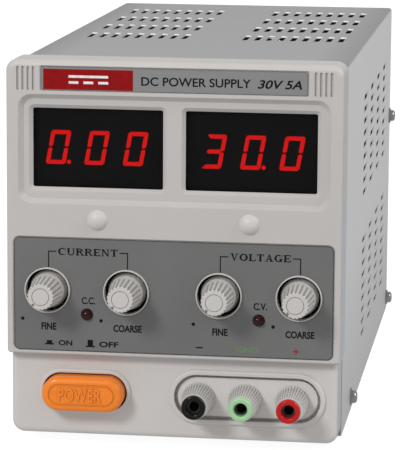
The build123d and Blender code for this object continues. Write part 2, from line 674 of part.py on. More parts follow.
def iec_inlet():
    """An inlet with a flange, a shrouded mouth and a slot above it for the fuse drawer."""
    flange = slab(Pos(INLET_X, INLET_Z) * RectangleRounded(33, 39, 2.5), PANEL_OUT, PANEL_OUT + 2.6)
    flange = fillet([e for e in flange.edges() if abs(e.center().Y - PANEL_OUT - 2.6) < NEAR], 0.8)
    body = flange + slab(Pos(INLET_X, INLET_Z) * Rectangle(28, 34), 256, PANEL_OUT + 1)
    body -= slab(mouth_outline(24, 16.4, 4), 264, PANEL_OUT + 5)
    body -= block(INLET_X - 11, INLET_X + 11, 259, PANEL_OUT + 5, DRAWER_Z - 4, DRAWER_Z + 4)
    for x, z in inlet_pin_places():
        body -= block(x - 1, x + 1, 250, 270, z - 2, z + 2)
    return body


def inlet_pin_places():
    return [(INLET_X - 7, MOUTH_Z - 1.6), (INLET_X, MOUTH_Z + 2.2), (INLET_X + 7, MOUTH_Z - 1.6)]


def inlet_pins():
    """Three flat contact blades that stand in the mouth and end in tabs behind."""
    return bundle([block(x - 1, x + 1, 249, 277, z - 2, z + 2) for x, z in inlet_pin_places()])


def fuse_drawer():
    """A small pull-out tray with a finger lip."""
    x, z = INLET_X, DRAWER_Z
    drawer = block(x - 10.8, x + 10.8, 259.3, PANEL_OUT + 2.6, z - 3.8, z + 3.8)
    drawer += block(x - 6, x + 6, PANEL_OUT + 2, PANEL_OUT + 3.8, z + 0.6, z + 3.2)
    return drawer - block(x - 3.4, x + 3.4, 260.6, 278.4, z - 3, z + 5)


def fuse():
    """A 5 x 20 mm glass fuse lying along the drawer, seen as glass between two caps."""
    x, z = INLET_X, DRAWER_Z - 0.4
    body = rod(x, z, 261.8, 277.2, 2.35)
    for near in (260.7, 275.2):
        body += rod(x, z, near, near + 3.1, 2.55)
    return body


# ---------------------------------------------------------------- transformer and main board
CORE_X = -16.0
CORE_Y = 112.0
CORE_SIZE = (80.0, 46.0, 67.0)
CHASSIS_FLOOR = 1.4
BOARD_TOP = 10.6


def transformer_core():
    """A laminated core with two windows, standing on the tray."""
    wide, deep, high = CORE_SIZE
    near, far = CORE_Y - deep / 2, CORE_Y + deep / 2
    core = block(CORE_X - wide / 2, CORE_X + wide / 2, near, far, CHASSIS_FLOOR, CHASSIS_FLOOR + high)
    for side in (-1, 1):
        inner, outer = sorted((CORE_X + side * 13.5, CORE_X + side * 26.5))
        core -= block(inner, outer, near - 1, far + 1, CHASSIS_FLOOR + 13.5, CHASSIS_FLOOR + high - 13.5)
    return core


def transformer_winding():
    """The taped coil on its bobbin, wrapped round the core's middle leg."""
    deep, high = CORE_SIZE[1], CORE_SIZE[2]
    middle = CHASSIS_FLOOR + high / 2
    outline = Pos(CORE_X, CORE_Y) * RectangleRounded(52, deep + 25, 7)
    hole = Pos(CORE_X, CORE_Y) * Rectangle(27.2, deep + 0.2)
    return Pos(0, 0, middle - 19.8) * extrude(outline - hole, amount=39.6)


def transformer_bracket():
    """A steel strap over the core with a foot on each side."""
    half, high = CORE_SIZE[0] / 2, CORE_SIZE[2]
    outer = Pos(CORE_X, CHASSIS_FLOOR + (high + PLATE) / 2) * Rectangle(2 * (half + PLATE), high + PLATE)
    inner = Pos(CORE_X, CHASSIS_FLOOR + high / 2) * Rectangle(2 * half, high)
    strap = slab(outer - inner, CORE_Y - 15, CORE_Y + 15)
    for side in (-1, 1):
        near, far = sorted((CORE_X + side * (half + PLATE), CORE_X + side * (half + PLATE + 6.5)))
        strap += block(near, far, CORE_Y - 15, CORE_Y + 15, CHASSIS_FLOOR, CHASSIS_FLOOR + PLATE)
    return strap


def main_board():
    return block(-60, 60, 148, 247, BOARD_TOP - BOARD_THICKNESS, BOARD_TOP)


def filter_capacitors():
    """Two upright electrolytic cans with a rolled groove near the base."""
    cans = []
    for y in (172, 208):
        points = [(0, 0), (15, 0), (15, 5), (14.2, 5.6), (15, 6.2), (15, 49), (14, 50), (0, 50)]
        can = revolve(make_face(Plane.XZ * Polyline(*points, close=True)), axis=Axis.Z)
        cans.append(Pos(-37, y, BOARD_TOP) * can)
    return bundle(cans)


def heatsink():
    """A finned extrusion that stands on the board, its fins along the air flow."""
    sink = block(14, 20, 165, 240, BOARD_TOP, 100)
    for number in range(10):
        z = BOARD_TOP + 2 + 9.5 * number
        sink += block(19, 54, 165, 240, z, z + 2)
    return sink


def pass_transistors():
    """Three plastic power transistors against the heatsink, their leads down to the board."""
    packages = []
    for y in (178, 202, 226):
        package = block(9.2, 14, y - 8, y + 8, 30, 50)
        for lead in (-5.4, 0, 5.4):
            package += block(10.2, 10.9, y + lead - 0.6, y + lead + 0.6, BOARD_TOP, 31)
        packages.append(package)
    return bundle(packages)


def bridge_rectifier():
    """A square bridge rectifier on the heatsink with four upright tabs."""
    bridge = block(6, 14, 188, 216, 62, 90)
    for y in (193, 211):
        for z in (67, 85):
            bridge += block(0, 6.5, y - 0.4, y + 0.4, z - 3, z + 3)
    return bridge


def relays():
    return bundle([block(-15, 0, y, y + 19, BOARD_TOP, BOARD_TOP + 15.5) for y in (156, 181, 206)])


# ---------------------------------------------------------------- internal wiring
def lead(points, diameter, radii):
    """A round wire of straight runs joined by tangent arcs."""
    path = FilletPolyline(*points, radius=radii)
    start = Plane(origin=path @ 0, z_dir=path % 0)
    wire = sweep(start * Circle(diameter / 2), path=path)
    expected = math.pi * diameter ** 2 / 4 * path.length
    ratio = round(wire.volume / expected, 4)
    print("lead length", round(path.length, 1), "volume ratio", ratio, "radii", radii)
    return wire


def mains_leads():
    """Live and neutral from the inlet along the left wall to the switch, as one sheathed pair."""
    z = MOUTH_Z - 1.6
    inlet, tab = INLET_X - 7, BUTTON_X - 5
    high = BUTTON_Z + 4
    pair = [(inlet, 249, z), (inlet, 236, z), (-60.5, 216, z - 3), (-61.5, 160, 17), (-61.5, 106, 17.5),
            (-61, 84, 18), (-55, 72.5, high - 1), (tab, 71, high), (tab, 64, high)]
    return lead(pair, 3.6, [10, 20, 20, 20, 14, 8, 4])


def transformer_leads():
    """Secondary leads from the coil down to the main board."""
    wires = []
    for x in (-30, -24, -18):
        points = [(x, CORE_Y + 35.5, 42), (x, 151, 42), (x, 153.5, 36), (x, 153.5, BOARD_TOP)]
        wires.append(lead(points, 2.2, [2.6, 4.5]))
    return bundle(wires)


def output_leads():
    """Leads from the main board to the outer posts, and the ground lead to the tray."""
    places, z = post_places(), POSTS_Z
    plus, minus, earth = places["positive"], places["negative"], places["ground"]
    positive = [(plus, 24, z), (plus, 42, z), (52, 70, 16), (53, 118, 16)]
    positive += [(53, 150, 20), (53, 161, 21), (53, 161, BOARD_TOP)]
    negative = [(minus, 24, z), (minus, 38, z), (40, 66, 17), (43, 118, 16.5)]
    negative += [(43, 150, 20), (43, 161, 21), (43, 161, BOARD_TOP)]
    ground = [(earth, 24, z), (earth, 40, z), (earth, 40, CHASSIS_FLOOR)]
    runs = [12, 20, 20, 10, 4.5]
    return bundle([lead(positive, 2.6, runs), lead(negative, 2.6, runs), lead(ground, 2.6, [7])])


def ribbon_cable():
    """A flat cable from the front board down to the main board."""
    rear = BOARD_Y + BOARD_THICKNESS
    points = [(rear, 96), (rear + 14, 96), (58, 60), (100, 42), (146, 38), (156, 34), (156, BOARD_TOP)]
    path = FilletPolyline(*points, radius=[8, 20, 20, 8, 5])
    plane = Plane(origin=(27, 0, 0), x_dir=(0, 1, 0), z_dir=(1, 0, 0))
    return extrude(plane * trace(path, 1.2), amount=12)


# ---------------------------------------------------------------- output
def build():
    os.makedirs("parts", exist_ok=True)
    makers = {
        "front_bezel": front_bezel, "name_strip": name_strip, "control_panel_overlay": control_overlay,
        "blind_plugs": blind_plugs, "indicator_leds": indicator_leds, "front_board": front_board,
        "display_modules": display_modules, "potentiometer_bodies": potentiometers,
        "potentiometer_nuts": potentiometer_nuts, "power_button": power_button,
        "switch_plunger": switch_plunger, "power_switch_body": power_switch, "post_plate": post_plate,
        "post_nuts": post_nuts, "top_cover": top_cover, "base_chassis": base_chassis,
        "rear_panel": rear_panel, "rubber_feet": rubber_feet, "cover_screws": cover_screws,
        "cover_washers": cover_washers, "fan_frame": fan_frame, "fan_rotor": fan_rotor,
        "fan_guard": fan_guard, "fan_screws": fan_screws, "iec_inlet": iec_inlet,
        "inlet_pins": inlet_pins, "fuse_drawer": fuse_drawer, "fuse": fuse,
        "transformer_core": transformer_core, "transformer_winding": transformer_winding,
        "transformer_bracket": transformer_bracket, "main_board": main_board,
        "filter_capacitors": filter_capacitors, "heatsink": heatsink, "pass_transistors": pass_transistors,
        "bridge_rectifier": bridge_rectifier, "relays": relays, "mains_leads": mains_leads,
        "transformer_leads": transformer_leads, "output_leads": output_leads, "ribbon_cable": ribbon_cable,
    }
    for name, maker in makers.items():
        export_node(name, maker())
    for side, name in ((-1, "left"), (1, "right")):
        export_node("display_window_" + name, window_pane(side))
    one_knob, one_shaft = knob(), pot_shaft()
    for name, x in KNOB_X.items():
        export_node("knob_" + name, Pos(x, 0, KNOB_Z) * one_knob)
        export_node("pot_shaft_" + name, Pos(x, 0, KNOB_Z) * one_shaft)
    for name, x in post_places().items():
        export_node("post_stud_" + name, post_stud(x))
        export_node("post_ring_" + name, post_ring(x))
        export_node("post_cap_" + name, post_cap(x))


build()
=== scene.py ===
import json
import math

import bmesh
import bpy
from mathutils import Matrix, Vector


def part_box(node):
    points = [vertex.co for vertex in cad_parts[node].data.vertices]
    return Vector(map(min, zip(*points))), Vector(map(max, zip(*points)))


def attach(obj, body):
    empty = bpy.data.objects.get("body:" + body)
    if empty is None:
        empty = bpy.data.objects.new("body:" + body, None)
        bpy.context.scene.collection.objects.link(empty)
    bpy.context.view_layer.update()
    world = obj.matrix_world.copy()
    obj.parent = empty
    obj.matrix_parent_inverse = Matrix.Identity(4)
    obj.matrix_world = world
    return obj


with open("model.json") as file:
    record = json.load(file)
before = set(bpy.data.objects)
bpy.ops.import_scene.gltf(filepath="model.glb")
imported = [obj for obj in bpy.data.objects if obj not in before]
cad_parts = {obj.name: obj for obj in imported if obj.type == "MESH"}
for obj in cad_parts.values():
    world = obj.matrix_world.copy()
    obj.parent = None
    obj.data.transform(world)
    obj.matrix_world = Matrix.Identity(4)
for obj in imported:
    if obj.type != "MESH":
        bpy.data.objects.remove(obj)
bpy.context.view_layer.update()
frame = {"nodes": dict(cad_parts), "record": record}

bpy.context.scene.view_settings.view_transform = "Standard"
MM = 0.001

# Looks of a bench power supply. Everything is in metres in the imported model's frame:
# X to the right, Y from the front panel to the back, Z up, origin on the resting surface.


# ---------------------------------------------------------------- places read from the frame
def middle(node):
    low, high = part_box(node)
    return (low + high) / 2


def front_of(node):
    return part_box(node)[0].y


CONTROLS = ("current_fine", "current_coarse", "voltage_fine", "voltage_coarse")
KNOB_CENTRES = {name: middle("pot_shaft_" + name) for name in CONTROLS}
POSTS = ("negative", "ground", "positive")
POST_CENTRES = {name: middle("post_stud_" + name) for name in POSTS}
OVERLAY_FACE = front_of("control_panel_overlay")
STRIP_FACE = front_of("name_strip")
PANEL_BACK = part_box("rear_panel")[1].y


# ---------------------------------------------------------------- material recipes
class Recipe:
    """One procedural material: its Principled shader and short calls that add the nodes in front of it."""

    def __init__(self, name, color, roughness, **settings):
        self.material = bpy.data.materials.new(name)
        self.material.use_nodes = True
        self.material.diffuse_color = (*color, 1.0)
        self.tree = self.material.node_tree
        self.shader = self.tree.nodes["Principled BSDF"]
        self.set(Base_Color=(*color, 1.0), Roughness=roughness, **settings)
        coordinates = self.add("ShaderNodeTexCoord")
        self.place = coordinates.outputs["Object"]
        self.facing = coordinates.outputs["Normal"]

    def set(self, **settings):
        for label, value in settings.items():
            self.shader.inputs[label.replace("_", " ")].default_value = value

    def add(self, kind, **inputs):
        made = self.tree.nodes.new(kind)
        for label, value in inputs.items():
            self.feed(value, made.inputs[label.replace("_", " ")])
        return made

    def feed(self, value, socket):
        if isinstance(value, bpy.types.NodeSocket):
            self.tree.links.new(value, socket)
        else:
            socket.default_value = value

    def scaled(self, x, y, z):
        """The object's own coordinates, in repeats per millimetre along each axis."""
        mapping = self.add("ShaderNodeMapping", Vector=self.place)
        mapping.inputs["Scale"].default_value = (x / MM, y / MM, z / MM)
        return mapping.outputs["Vector"]

    def noise(self, x, y=None, z=None, detail=3.0, roughness=0.55, distortion=0.0):
        where = self.scaled(x, x if y is None else y, x if z is None else z)
        made = self.add("ShaderNodeTexNoise", Vector=where, Scale=1.0, Detail=detail,
                        Roughness=roughness, Distortion=distortion)
        return made.outputs["Fac"]

    def cells(self, x, y=None, z=None, feature="F1"):
        where = self.scaled(x, x if y is None else y, x if z is None else z)
        made = self.add("ShaderNodeTexVoronoi", Vector=where, Scale=1.0)
        made.feature = feature
        return made

    def axis(self, letter):
        """One coordinate in metres."""
        return self.add("ShaderNodeSeparateXYZ", Vector=self.place).outputs[letter]

    def normal(self, letter):
        """One part of the surface's own direction, in the object's axes."""
        return self.add("ShaderNodeSeparateXYZ", Vector=self.facing).outputs[letter]

    def maths(self, operation, a, b=0.0, c=0.0):
        made = self.tree.nodes.new("ShaderNodeMath")
        made.operation = operation
        for socket, value in zip(made.inputs, (a, b, c)):
            self.feed(value, socket)
        return made.outputs[0]

    def ramp(self, factor, *stops):
        """A colour ramp from (position, grey or colour) stops."""
        made = self.add("ShaderNodeValToRGB", Fac=factor)
        marks = made.color_ramp.elements
        while len(marks) < len(stops):
            marks.new(0.5)
        for mark, (position, value) in zip(marks, stops):
            mark.position = position
            mark.color = (*value, 1.0) if isinstance(value, tuple) else (value, value, value, 1.0)
        return made.outputs["Color"]

    def span(self, factor, low, high):
        """A 0 to 1 value stretched between two plain numbers."""
        made = self.add("ShaderNodeMapRange", Value=factor)
        made.inputs["To Min"].default_value = low
        made.inputs["To Max"].default_value = high
        return made.outputs["Result"]

    def mix(self, factor, a, b, blend="MIX"):
        made = self.tree.nodes.new("ShaderNodeMix")
        made.data_type = "RGBA"
        made.blend_type = blend
        for label, value in (("Factor_Float", factor), ("A_Color", a), ("B_Color", b)):
            socket = next(s for s in made.inputs if s.identifier == label)
            self.feed((*value, 1.0) if isinstance(value, tuple) and len(value) == 3 else value, socket)
        return next(s for s in made.outputs if s.identifier == "Result_Color")

    def colour(self, value):
        self.feed(value, self.shader.inputs["Base Color"])
        return self

    def shade(self):
        """The colour that feeds the shader so far."""
        return self.shader.inputs["Base Color"].links[0].from_socket

    def rough(self, value):
        self.feed(value, self.shader.inputs["Roughness"])
        return self

    def bump(self, *layers):
        """Stacked bump layers, each (height, depth in millimetres)."""
        normal = None
        for height, depth in layers:
            made = self.add("ShaderNodeBump", Height=height, Strength=1.0, Distance=depth * MM)
            if normal is not None:
                self.feed(normal, made.inputs["Normal"])
            normal = made.outputs["Normal"]
        self.feed(normal, self.shader.inputs["Normal"])
        return self


def tint(color, amount):
    return tuple(min(1.0, part * amount) for part in color)


def moulded(name, color, roughness, grain=2.4, depth=0.012, mottle=0.03, **settings):
    """Injection-moulded plastic: faint mottling, a fine spark-eroded grain and soft handling marks."""
    r = Recipe(name, color, roughness, **settings)
    cloud = r.noise(0.045, detail=4.0)
    r.colour(r.ramp(cloud, (0.3, tint(color, 1 - mottle)), (0.7, tint(color, 1 + mottle))))
    r.rough(r.span(r.noise(0.11, detail=5.0), roughness - 0.06, roughness + 0.06))
    return r.bump((r.noise(grain, detail=2.0), depth), (cloud, 0.02))


def polished(name, color, roughness, mottle=0.04, **settings):
    """Glossy moulded plastic with faint flow lines and wipe marks."""
    r = Recipe(name, color, roughness, **settings)
    flow = r.noise(0.12, 0.12, 0.35, detail=3.0, distortion=0.6)
    r.colour(r.ramp(flow, (0.25, tint(color, 1 - mottle)), (0.75, tint(color, 1 + mottle))))
    r.rough(r.span(r.noise(0.6, detail=6.0), roughness * 0.7, roughness * 1.5))
    return r.bump((r.noise(0.3, detail=1.0), 0.010))


def plated(name, color, roughness, **settings):
    """Bright plated metal with fine turning marks."""
    r = Recipe(name, color, roughness, Metallic=1.0, **settings)
    lines = r.noise(1.2, 9.0, 1.2, detail=2.0)
    r.colour(r.ramp(r.noise(0.2), (0.3, tint(color, 0.9)), (0.7, tint(color, 1.05))))
    r.rough(r.span(lines, roughness * 0.7, roughness * 1.4))
    return r.bump((lines, 0.004))


PALE_BELOW = 0.040             # height on the bezel under which painted light makes it paler, in metres
BEZEL_SIDE = 0.064             # distance from the middle beyond which the bezel's side faces get painted shade


def bezel_plastic():
    """Warm grey moulding: painted shade makes its outer side faces greyer, painted light makes it paler low
    down, and it is paler on the proud plugs.
    """
    front = (0.525, 0.503, 0.486)
    r = moulded("bezel_plastic", front, 0.46, grain=2.2, depth=0.010, mottle=0.02)
    # Painted light: the bezel is paler low down.
    painted_light_low_down = r.ramp(r.axis("Z"), (PALE_BELOW - 0.004, 1.0), (PALE_BELOW, 0.0))
    shade = r.mix(painted_light_low_down, r.shade(), tint(front, 1.16))
    low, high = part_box("blind_plugs")
    beside = r.maths("ABSOLUTE", r.maths("SUBTRACT", r.axis("Z"), (low.z + high.z) / 2))
    proud = r.maths("LESS_THAN", r.axis("Y"), OVERLAY_FACE - 0.0002)
    plug = r.maths("MULTIPLY", proud, r.maths("LESS_THAN", beside, (high.z - low.z) / 2))
    shade = r.mix(plug, shade, tint(front, 1.13))
    # Painted shade: the outer side faces are greyer and cooler.
    beyond = r.maths("GREATER_THAN", r.maths("ABSOLUTE", r.axis("X")), BEZEL_SIDE)
    side = r.ramp(r.maths("MULTIPLY", r.maths("ABSOLUTE", r.normal("X")), beyond), (0.75, 0.0), (0.98, 1.0))
    r.colour(r.mix(side, shade, (0.375, 0.388, 0.405)))
    return r


def shade_grooves(r, base, centres, front, tip_radius, slope, depth, reach, darkest):
    """Painted shade in the grooves of coned parts whose axes run along Y.

    The cone starts at front with tip_radius and widens by slope. Its grooves are depth deep and
    run back as far as reach. Lengths are in metres.
    """
    gaps = [r.maths("ABSOLUTE", r.maths("SUBTRACT", r.axis("X"), centre.x)) for centre in centres]
    across = gaps[0]
    for gap in gaps[1:]:
        across = r.maths("MINIMUM", across, gap)
    up = r.maths("SUBTRACT", r.axis("Z"), centres[0].z)
    squares = r.maths("ADD", r.maths("MULTIPLY", across, across), r.maths("MULTIPLY", up, up))
    along = r.maths("SUBTRACT", r.axis("Y"), front)
    cone = r.maths("MULTIPLY_ADD", along, slope, tip_radius)
    below = r.maths("SUBTRACT", cone, r.maths("SQRT", squares))
    # Painted shade, darker the deeper a point lies in its groove.
    groove_shade = r.ramp(r.maths("DIVIDE", below, depth), (0.10, 0.0), (0.80, 0.75))
    flank = r.maths("MULTIPLY", r.maths("GREATER_THAN", along, 0.0006), r.maths("LESS_THAN", along, reach))
    flank = r.maths("MULTIPLY", flank, r.maths("LESS_THAN", below, 1.5 * depth))
    r.colour(r.mix(r.maths("MULTIPLY", groove_shade, flank), r.shade(), tint(base, darkest)))
    return r


def knob_plastic():
    base = (0.565, 0.545, 0.525)
    r = moulded("knob_plastic", base, 0.40, grain=3.0, depth=0.006, mottle=0.02)
    return shade_grooves(r, base, list(KNOB_CENTRES.values()), front_of("knob_voltage_fine"),
                        tip_radius=0.00535, slope=0.104, depth=0.00048, reach=0.0120, darkest=0.40)


def post_cap_plastic():
    base = (0.67, 0.65, 0.63)
    r = moulded("post_cap_plastic", base, 0.42, grain=3.0, depth=0.006, mottle=0.025)
    return shade_grooves(r, base, list(POST_CENTRES.values()), front_of("post_cap_ground"),
                        tip_radius=0.00525, slope=0.118, depth=0.00040, reach=0.0128, darkest=0.50)


def plate_plastic():
    return moulded("plate_plastic", (0.68, 0.66, 0.64), 0.46, grain=2.4, depth=0.010, mottle=0.03)


def black_moulding():
    return moulded("black_moulding", (0.018, 0.018, 0.019), 0.44, grain=1.8, depth=0.02, mottle=0.15)


def foot_rubber():
    return moulded("foot_rubber", (0.022, 0.022, 0.021), 0.78, grain=1.2, depth=0.05, mottle=0.2)


def cover_paint():
    """Satin enamel over brushed sheet: orange peel, soft streaks along the sheet and faint rub marks.

    The top gets painted shade, darkest towards both bends, and the sides get painted shade low down.
    The rolled rims of the top slots get a painted highlight, with painted shade where they look to +X.
    The inside gets painted shade, near black.
    """
    base = (0.545, 0.538, 0.535)
    r = Recipe("cover_paint", base, 0.42, Specular_IOR_Level=0.3)
    low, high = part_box("top_cover")
    streaks = r.noise(0.02, 0.55, 0.55, detail=5.0, roughness=0.65)
    cloud = r.noise(0.018, detail=3.0)
    shade = r.ramp(streaks, (0.3, tint(base, 0.95)), (0.7, tint(base, 1.05)))
    shade = r.mix(r.span(cloud, 0.0, 0.5), shade, tint(base, 0.93))
    across = r.maths("ABSOLUTE", r.axis("X"))
    tilt = r.maths("ABSOLUTE", r.normal("Z"))
    high_up = r.maths("GREATER_THAN", r.axis("Z"), high.z - 0.003)
    # Painted shade: the upward faces of the top are darker.
    top = r.maths("MULTIPLY", high_up, r.ramp(tilt, (0.15, 0.0), (0.75, 1.0)))
    shade = r.mix(r.maths("MULTIPLY", top, 0.70), shade, (0.25, 0.25, 0.256))
    # Painted shade, darker still towards both bends.
    outer = r.ramp(r.maths("MULTIPLY", across, 10.0), (0.52, 0.0), (0.665, 0.45))
    shade = r.mix(r.maths("MULTIPLY", top, outer), shade, (0.15, 0.15, 0.155))
    # Painted highlight on the rolled slot rims of the top, painted shade on their flanks that look to +X.
    flat = r.maths("LESS_THAN", across, high.x - 0.003)
    rolled = r.maths("MULTIPLY", r.maths("GREATER_THAN", tilt, 0.35), r.maths("LESS_THAN", tilt, 0.92))
    rolled = r.maths("MULTIPLY", rolled, r.maths("MULTIPLY", flat, high_up))
    highlit_flank = r.maths("LESS_THAN", r.normal("X"), 0.45)
    rim_highlight_and_shade = r.mix(highlit_flank, (0.36, 0.36, 0.36), (0.82, 0.80, 0.78))
    shade = r.mix(rolled, shade, rim_highlight_and_shade)
    # Painted shade: the sides are darker low down.
    painted_light_low_down = r.ramp(r.maths("MULTIPLY", r.axis("Z"), 10.0), (0.05, 0.42), (0.75, 0.0))
    shade = r.mix(painted_light_low_down, shade, (0.26, 0.26, 0.27))
    # Painted shade inside the cover and on the slot walls below the rims, near black.
    behind = r.maths("LESS_THAN", r.axis("Y"), high.y - 0.0015)
    deep_side = r.maths("LESS_THAN", across, high.x - 0.0007)
    deep_top = r.maths("LESS_THAN", r.axis("Z"), high.z - 0.0007)
    shaded_inside = r.maths("MULTIPLY", behind, r.maths("MULTIPLY", deep_side, deep_top))
    r.colour(r.mix(shaded_inside, shade, (0.045, 0.045, 0.048)))
    r.rough(r.span(streaks, 0.38, 0.50))
    return r.bump((r.noise(0.7, detail=2.0), 0.02), (streaks, 0.008))


def chassis_steel():
    """Zinc-plated sheet: bright crystals of slightly different greys."""
    base = (0.50, 0.51, 0.52)
    r = Recipe("chassis_steel", base, 0.34, Metallic=1.0)
    spangle = r.cells(0.16)
    r.colour(r.mix(0.18, base, spangle.outputs["Color"], "OVERLAY"))
    r.rough(r.span(r.noise(0.4, detail=5.0), 0.26, 0.48))
    return r.bump((r.noise(1.5, detail=3.0), 0.006))


def overlay_film():
    """Printed polyester overlay with a fine satin grain and a painted shadow line along its rounded edge."""
    base = (0.152, 0.150, 0.149)
    corner, shadow_width = 0.0024, 0.00026      # corner radius and width of the painted shadow line, in metres
    r = Recipe("overlay_film", base, 0.42)
    cloud = r.noise(0.03, detail=3.0)
    shade = r.ramp(cloud, (0.3, tint(base, 0.94)), (0.7, tint(base, 1.06)))
    low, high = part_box("control_panel_overlay")
    squares = []
    for letter, start, end in (("X", low.x, high.x), ("Z", low.z, high.z)):
        out = r.maths("ABSOLUTE", r.maths("SUBTRACT", r.axis(letter), (start + end) / 2))
        beyond = r.maths("MAXIMUM", r.maths("SUBTRACT", out, (end - start) / 2 - corner), 0.0)
        squares.append(r.maths("MULTIPLY", beyond, beyond))
    from_corner = r.maths("SQRT", r.maths("ADD", *squares))
    # Painted shadow along the rounded edge.
    edge = r.maths("GREATER_THAN", from_corner, corner - shadow_width)
    r.colour(r.mix(edge, shade, tint(base, 0.22)))
    r.rough(r.span(r.noise(0.5, detail=6.0), 0.36, 0.50))
    return r.bump((r.noise(6.0, detail=1.0), 0.004), (r.noise(0.05), 0.03))


def strip_film():
    """Brushed silver film."""
    base = (0.30, 0.30, 0.302)
    r = Recipe("strip_film", base, 0.34, Metallic=0.6)
    lines = r.noise(0.06, 1.0, 12.0, detail=3.0)
    r.colour(r.ramp(lines, (0.25, tint(base, 0.88)), (0.75, tint(base, 1.10))))
    r.rough(r.span(lines, 0.26, 0.46))
    return r.bump((lines, 0.004))


def window_filter():
    """Smoked filter pane, polished, with faint wipe marks."""
    r = Recipe("window_filter", (0.004, 0.0035, 0.0035), 0.09, Alpha=0.42, Specular_IOR_Level=0.06)
    r.rough(r.span(r.noise(0.09, detail=5.0, distortion=0.8), 0.05, 0.16))
    return r.bump((r.noise(0.05, detail=1.0), 0.02))


def lamp_red():
    """Dark red lamp lens, glossy and faintly clouded."""
    base = (0.030, 0.0012, 0.0012)
    r = Recipe("lamp_red", base, 0.07, Specular_IOR_Level=0.12, Coat_Weight=0.35, Coat_Roughness=0.04)
    r.colour(r.ramp(r.noise(0.4), (0.35, tint(base, 0.7)), (0.65, tint(base, 1.5))))
    r.rough(r.span(r.noise(2.0), 0.05, 0.12))
    return r.bump((r.noise(1.0), 0.004))


def button_orange():
    """Glossy orange moulding, with painted shade on the low walls of its groove and of its raised word."""
    base = (0.92, 0.240, 0.020)
    r = polished("button_orange", base, 0.30, Specular_IOR_Level=0.25, Coat_Weight=0.20, Coat_Roughness=0.06)
    # Painted shade on the walls near the front of the cap.
    shaded_wall = r.maths("LESS_THAN", r.maths("ABSOLUTE", r.normal("Y")), 0.6)
    shallow = r.maths("LESS_THAN", r.axis("Y"), front_of("power_button") + 0.0006)
    r.colour(r.mix(r.maths("MULTIPLY", shaded_wall, shallow), r.shade(), tint(base, 0.40)))
    return r


def post_black():
    return polished("post_black", (0.006, 0.006, 0.007), 0.16, mottle=0.2, Specular_IOR_Level=0.1,
                    Coat_Weight=0.25, Coat_Roughness=0.04)


def post_green():
    return polished("post_green", (0.36, 0.62, 0.35), 0.18, Specular_IOR_Level=0.25, Coat_Weight=0.4,
                    Coat_Roughness=0.05)


def post_red():
    return polished("post_red", (0.50, 0.004, 0.006), 0.16, Specular_IOR_Level=0.15, Coat_Weight=0.4,
                    Coat_Roughness=0.05)


def bright_nickel():
    return plated("bright_nickel", (0.34, 0.335, 0.33), 0.20)


def plated_brass():
    return plated("plated_brass", (0.085, 0.078, 0.066), 0.30)


def circuit_board():
    """Green solder mask with copper tracks showing through and rows of tinned pads."""
    mask = (0.010, 0.085, 0.030)
    track = (0.030, 0.160, 0.055)
    pad = (0.50, 0.49, 0.46)
    r = Recipe("circuit_board", mask, 0.30)
    runs = r.cells(0.14, 0.14, 0.14, feature="DISTANCE_TO_EDGE")
    lanes = r.ramp(runs.outputs["Distance"], (0.0, 1.0), (0.10, 1.0), (0.14, 0.0))
    dots = r.cells(0.39).outputs["Distance"]
    lands = r.ramp(dots, (0.0, 1.0), (0.20, 1.0), (0.24, 0.0))
    shade = r.mix(lanes, mask, track)
    r.colour(r.mix(lands, shade, pad))
    r.rough(r.span(r.noise(0.8, detail=4.0), 0.24, 0.42))
    return r.bump((lanes, 0.03), (lands, 0.05))


def lamination_steel():
    """Stacked half-millimetre laminations under brown-black varnish."""
    base = (0.085, 0.078, 0.072)
    r = Recipe("lamination_steel", base, 0.42, Metallic=0.6)
    sheets = r.noise(0.01, 2.0, 0.01, detail=0.0)
    varnish = r.noise(0.08, detail=5.0)
    shade = r.ramp(sheets, (0.42, tint(base, 0.6)), (0.58, tint(base, 1.5)))
    r.colour(r.mix(r.span(varnish, 0.0, 0.8), shade, (0.10, 0.05, 0.02)))
    r.rough(r.span(varnish, 0.28, 0.6))
    return r.bump((sheets, 0.12), (varnish, 0.03))


def coil_winding():
    """Yellow polyester tape wound over the coil, with its overlaps."""
    base = (0.62, 0.42, 0.06)
    r = Recipe("coil_winding", base, 0.34)
    wraps = r.noise(0.02, 0.02, 0.35, detail=1.0)
    r.colour(r.ramp(wraps, (0.35, tint(base, 0.75)), (0.5, base), (0.65, tint(base, 1.12))))
    r.rough(r.span(r.noise(0.3), 0.25, 0.45))
    return r.bump((wraps, 0.25))


def heatsink_aluminium():
    r = Recipe("heatsink_aluminium", (0.46, 0.46, 0.47), 0.36, Metallic=1.0)
    lines = r.noise(2.5, 2.5, 0.03, detail=3.0)
    r.colour(r.ramp(lines, (0.3, 0.40), (0.7, 0.52)))
    r.rough(r.span(lines, 0.28, 0.46))
    return r.bump((lines, 0.01))


def capacitor_sleeve():
    """Dark shrink sleeve with a lighter polarity stripe and a pressed metal top."""
    sleeve = (0.012, 0.022, 0.065)
    r = Recipe("capacitor_sleeve", sleeve, 0.26)
    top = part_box("filter_capacitors")[1].z
    metal = r.maths("GREATER_THAN", r.axis("Z"), top - 0.0004)
    stripe = r.ramp(r.noise(0.03, 0.08, 0.004, detail=0.0), (0.52, 0.0), (0.54, 1.0))
    shade = r.mix(stripe, sleeve, (0.35, 0.36, 0.38))
    r.colour(r.mix(metal, shade, (0.55, 0.55, 0.56)))
    r.feed(r.maths("MULTIPLY", metal, 0.9), r.shader.inputs["Metallic"])
    r.rough(r.span(r.noise(0.4), 0.2, 0.36))
    return r.bump((r.noise(0.25), 0.03))


def relay_shell():
    return polished("relay_shell", (0.02, 0.09, 0.26), 0.22)


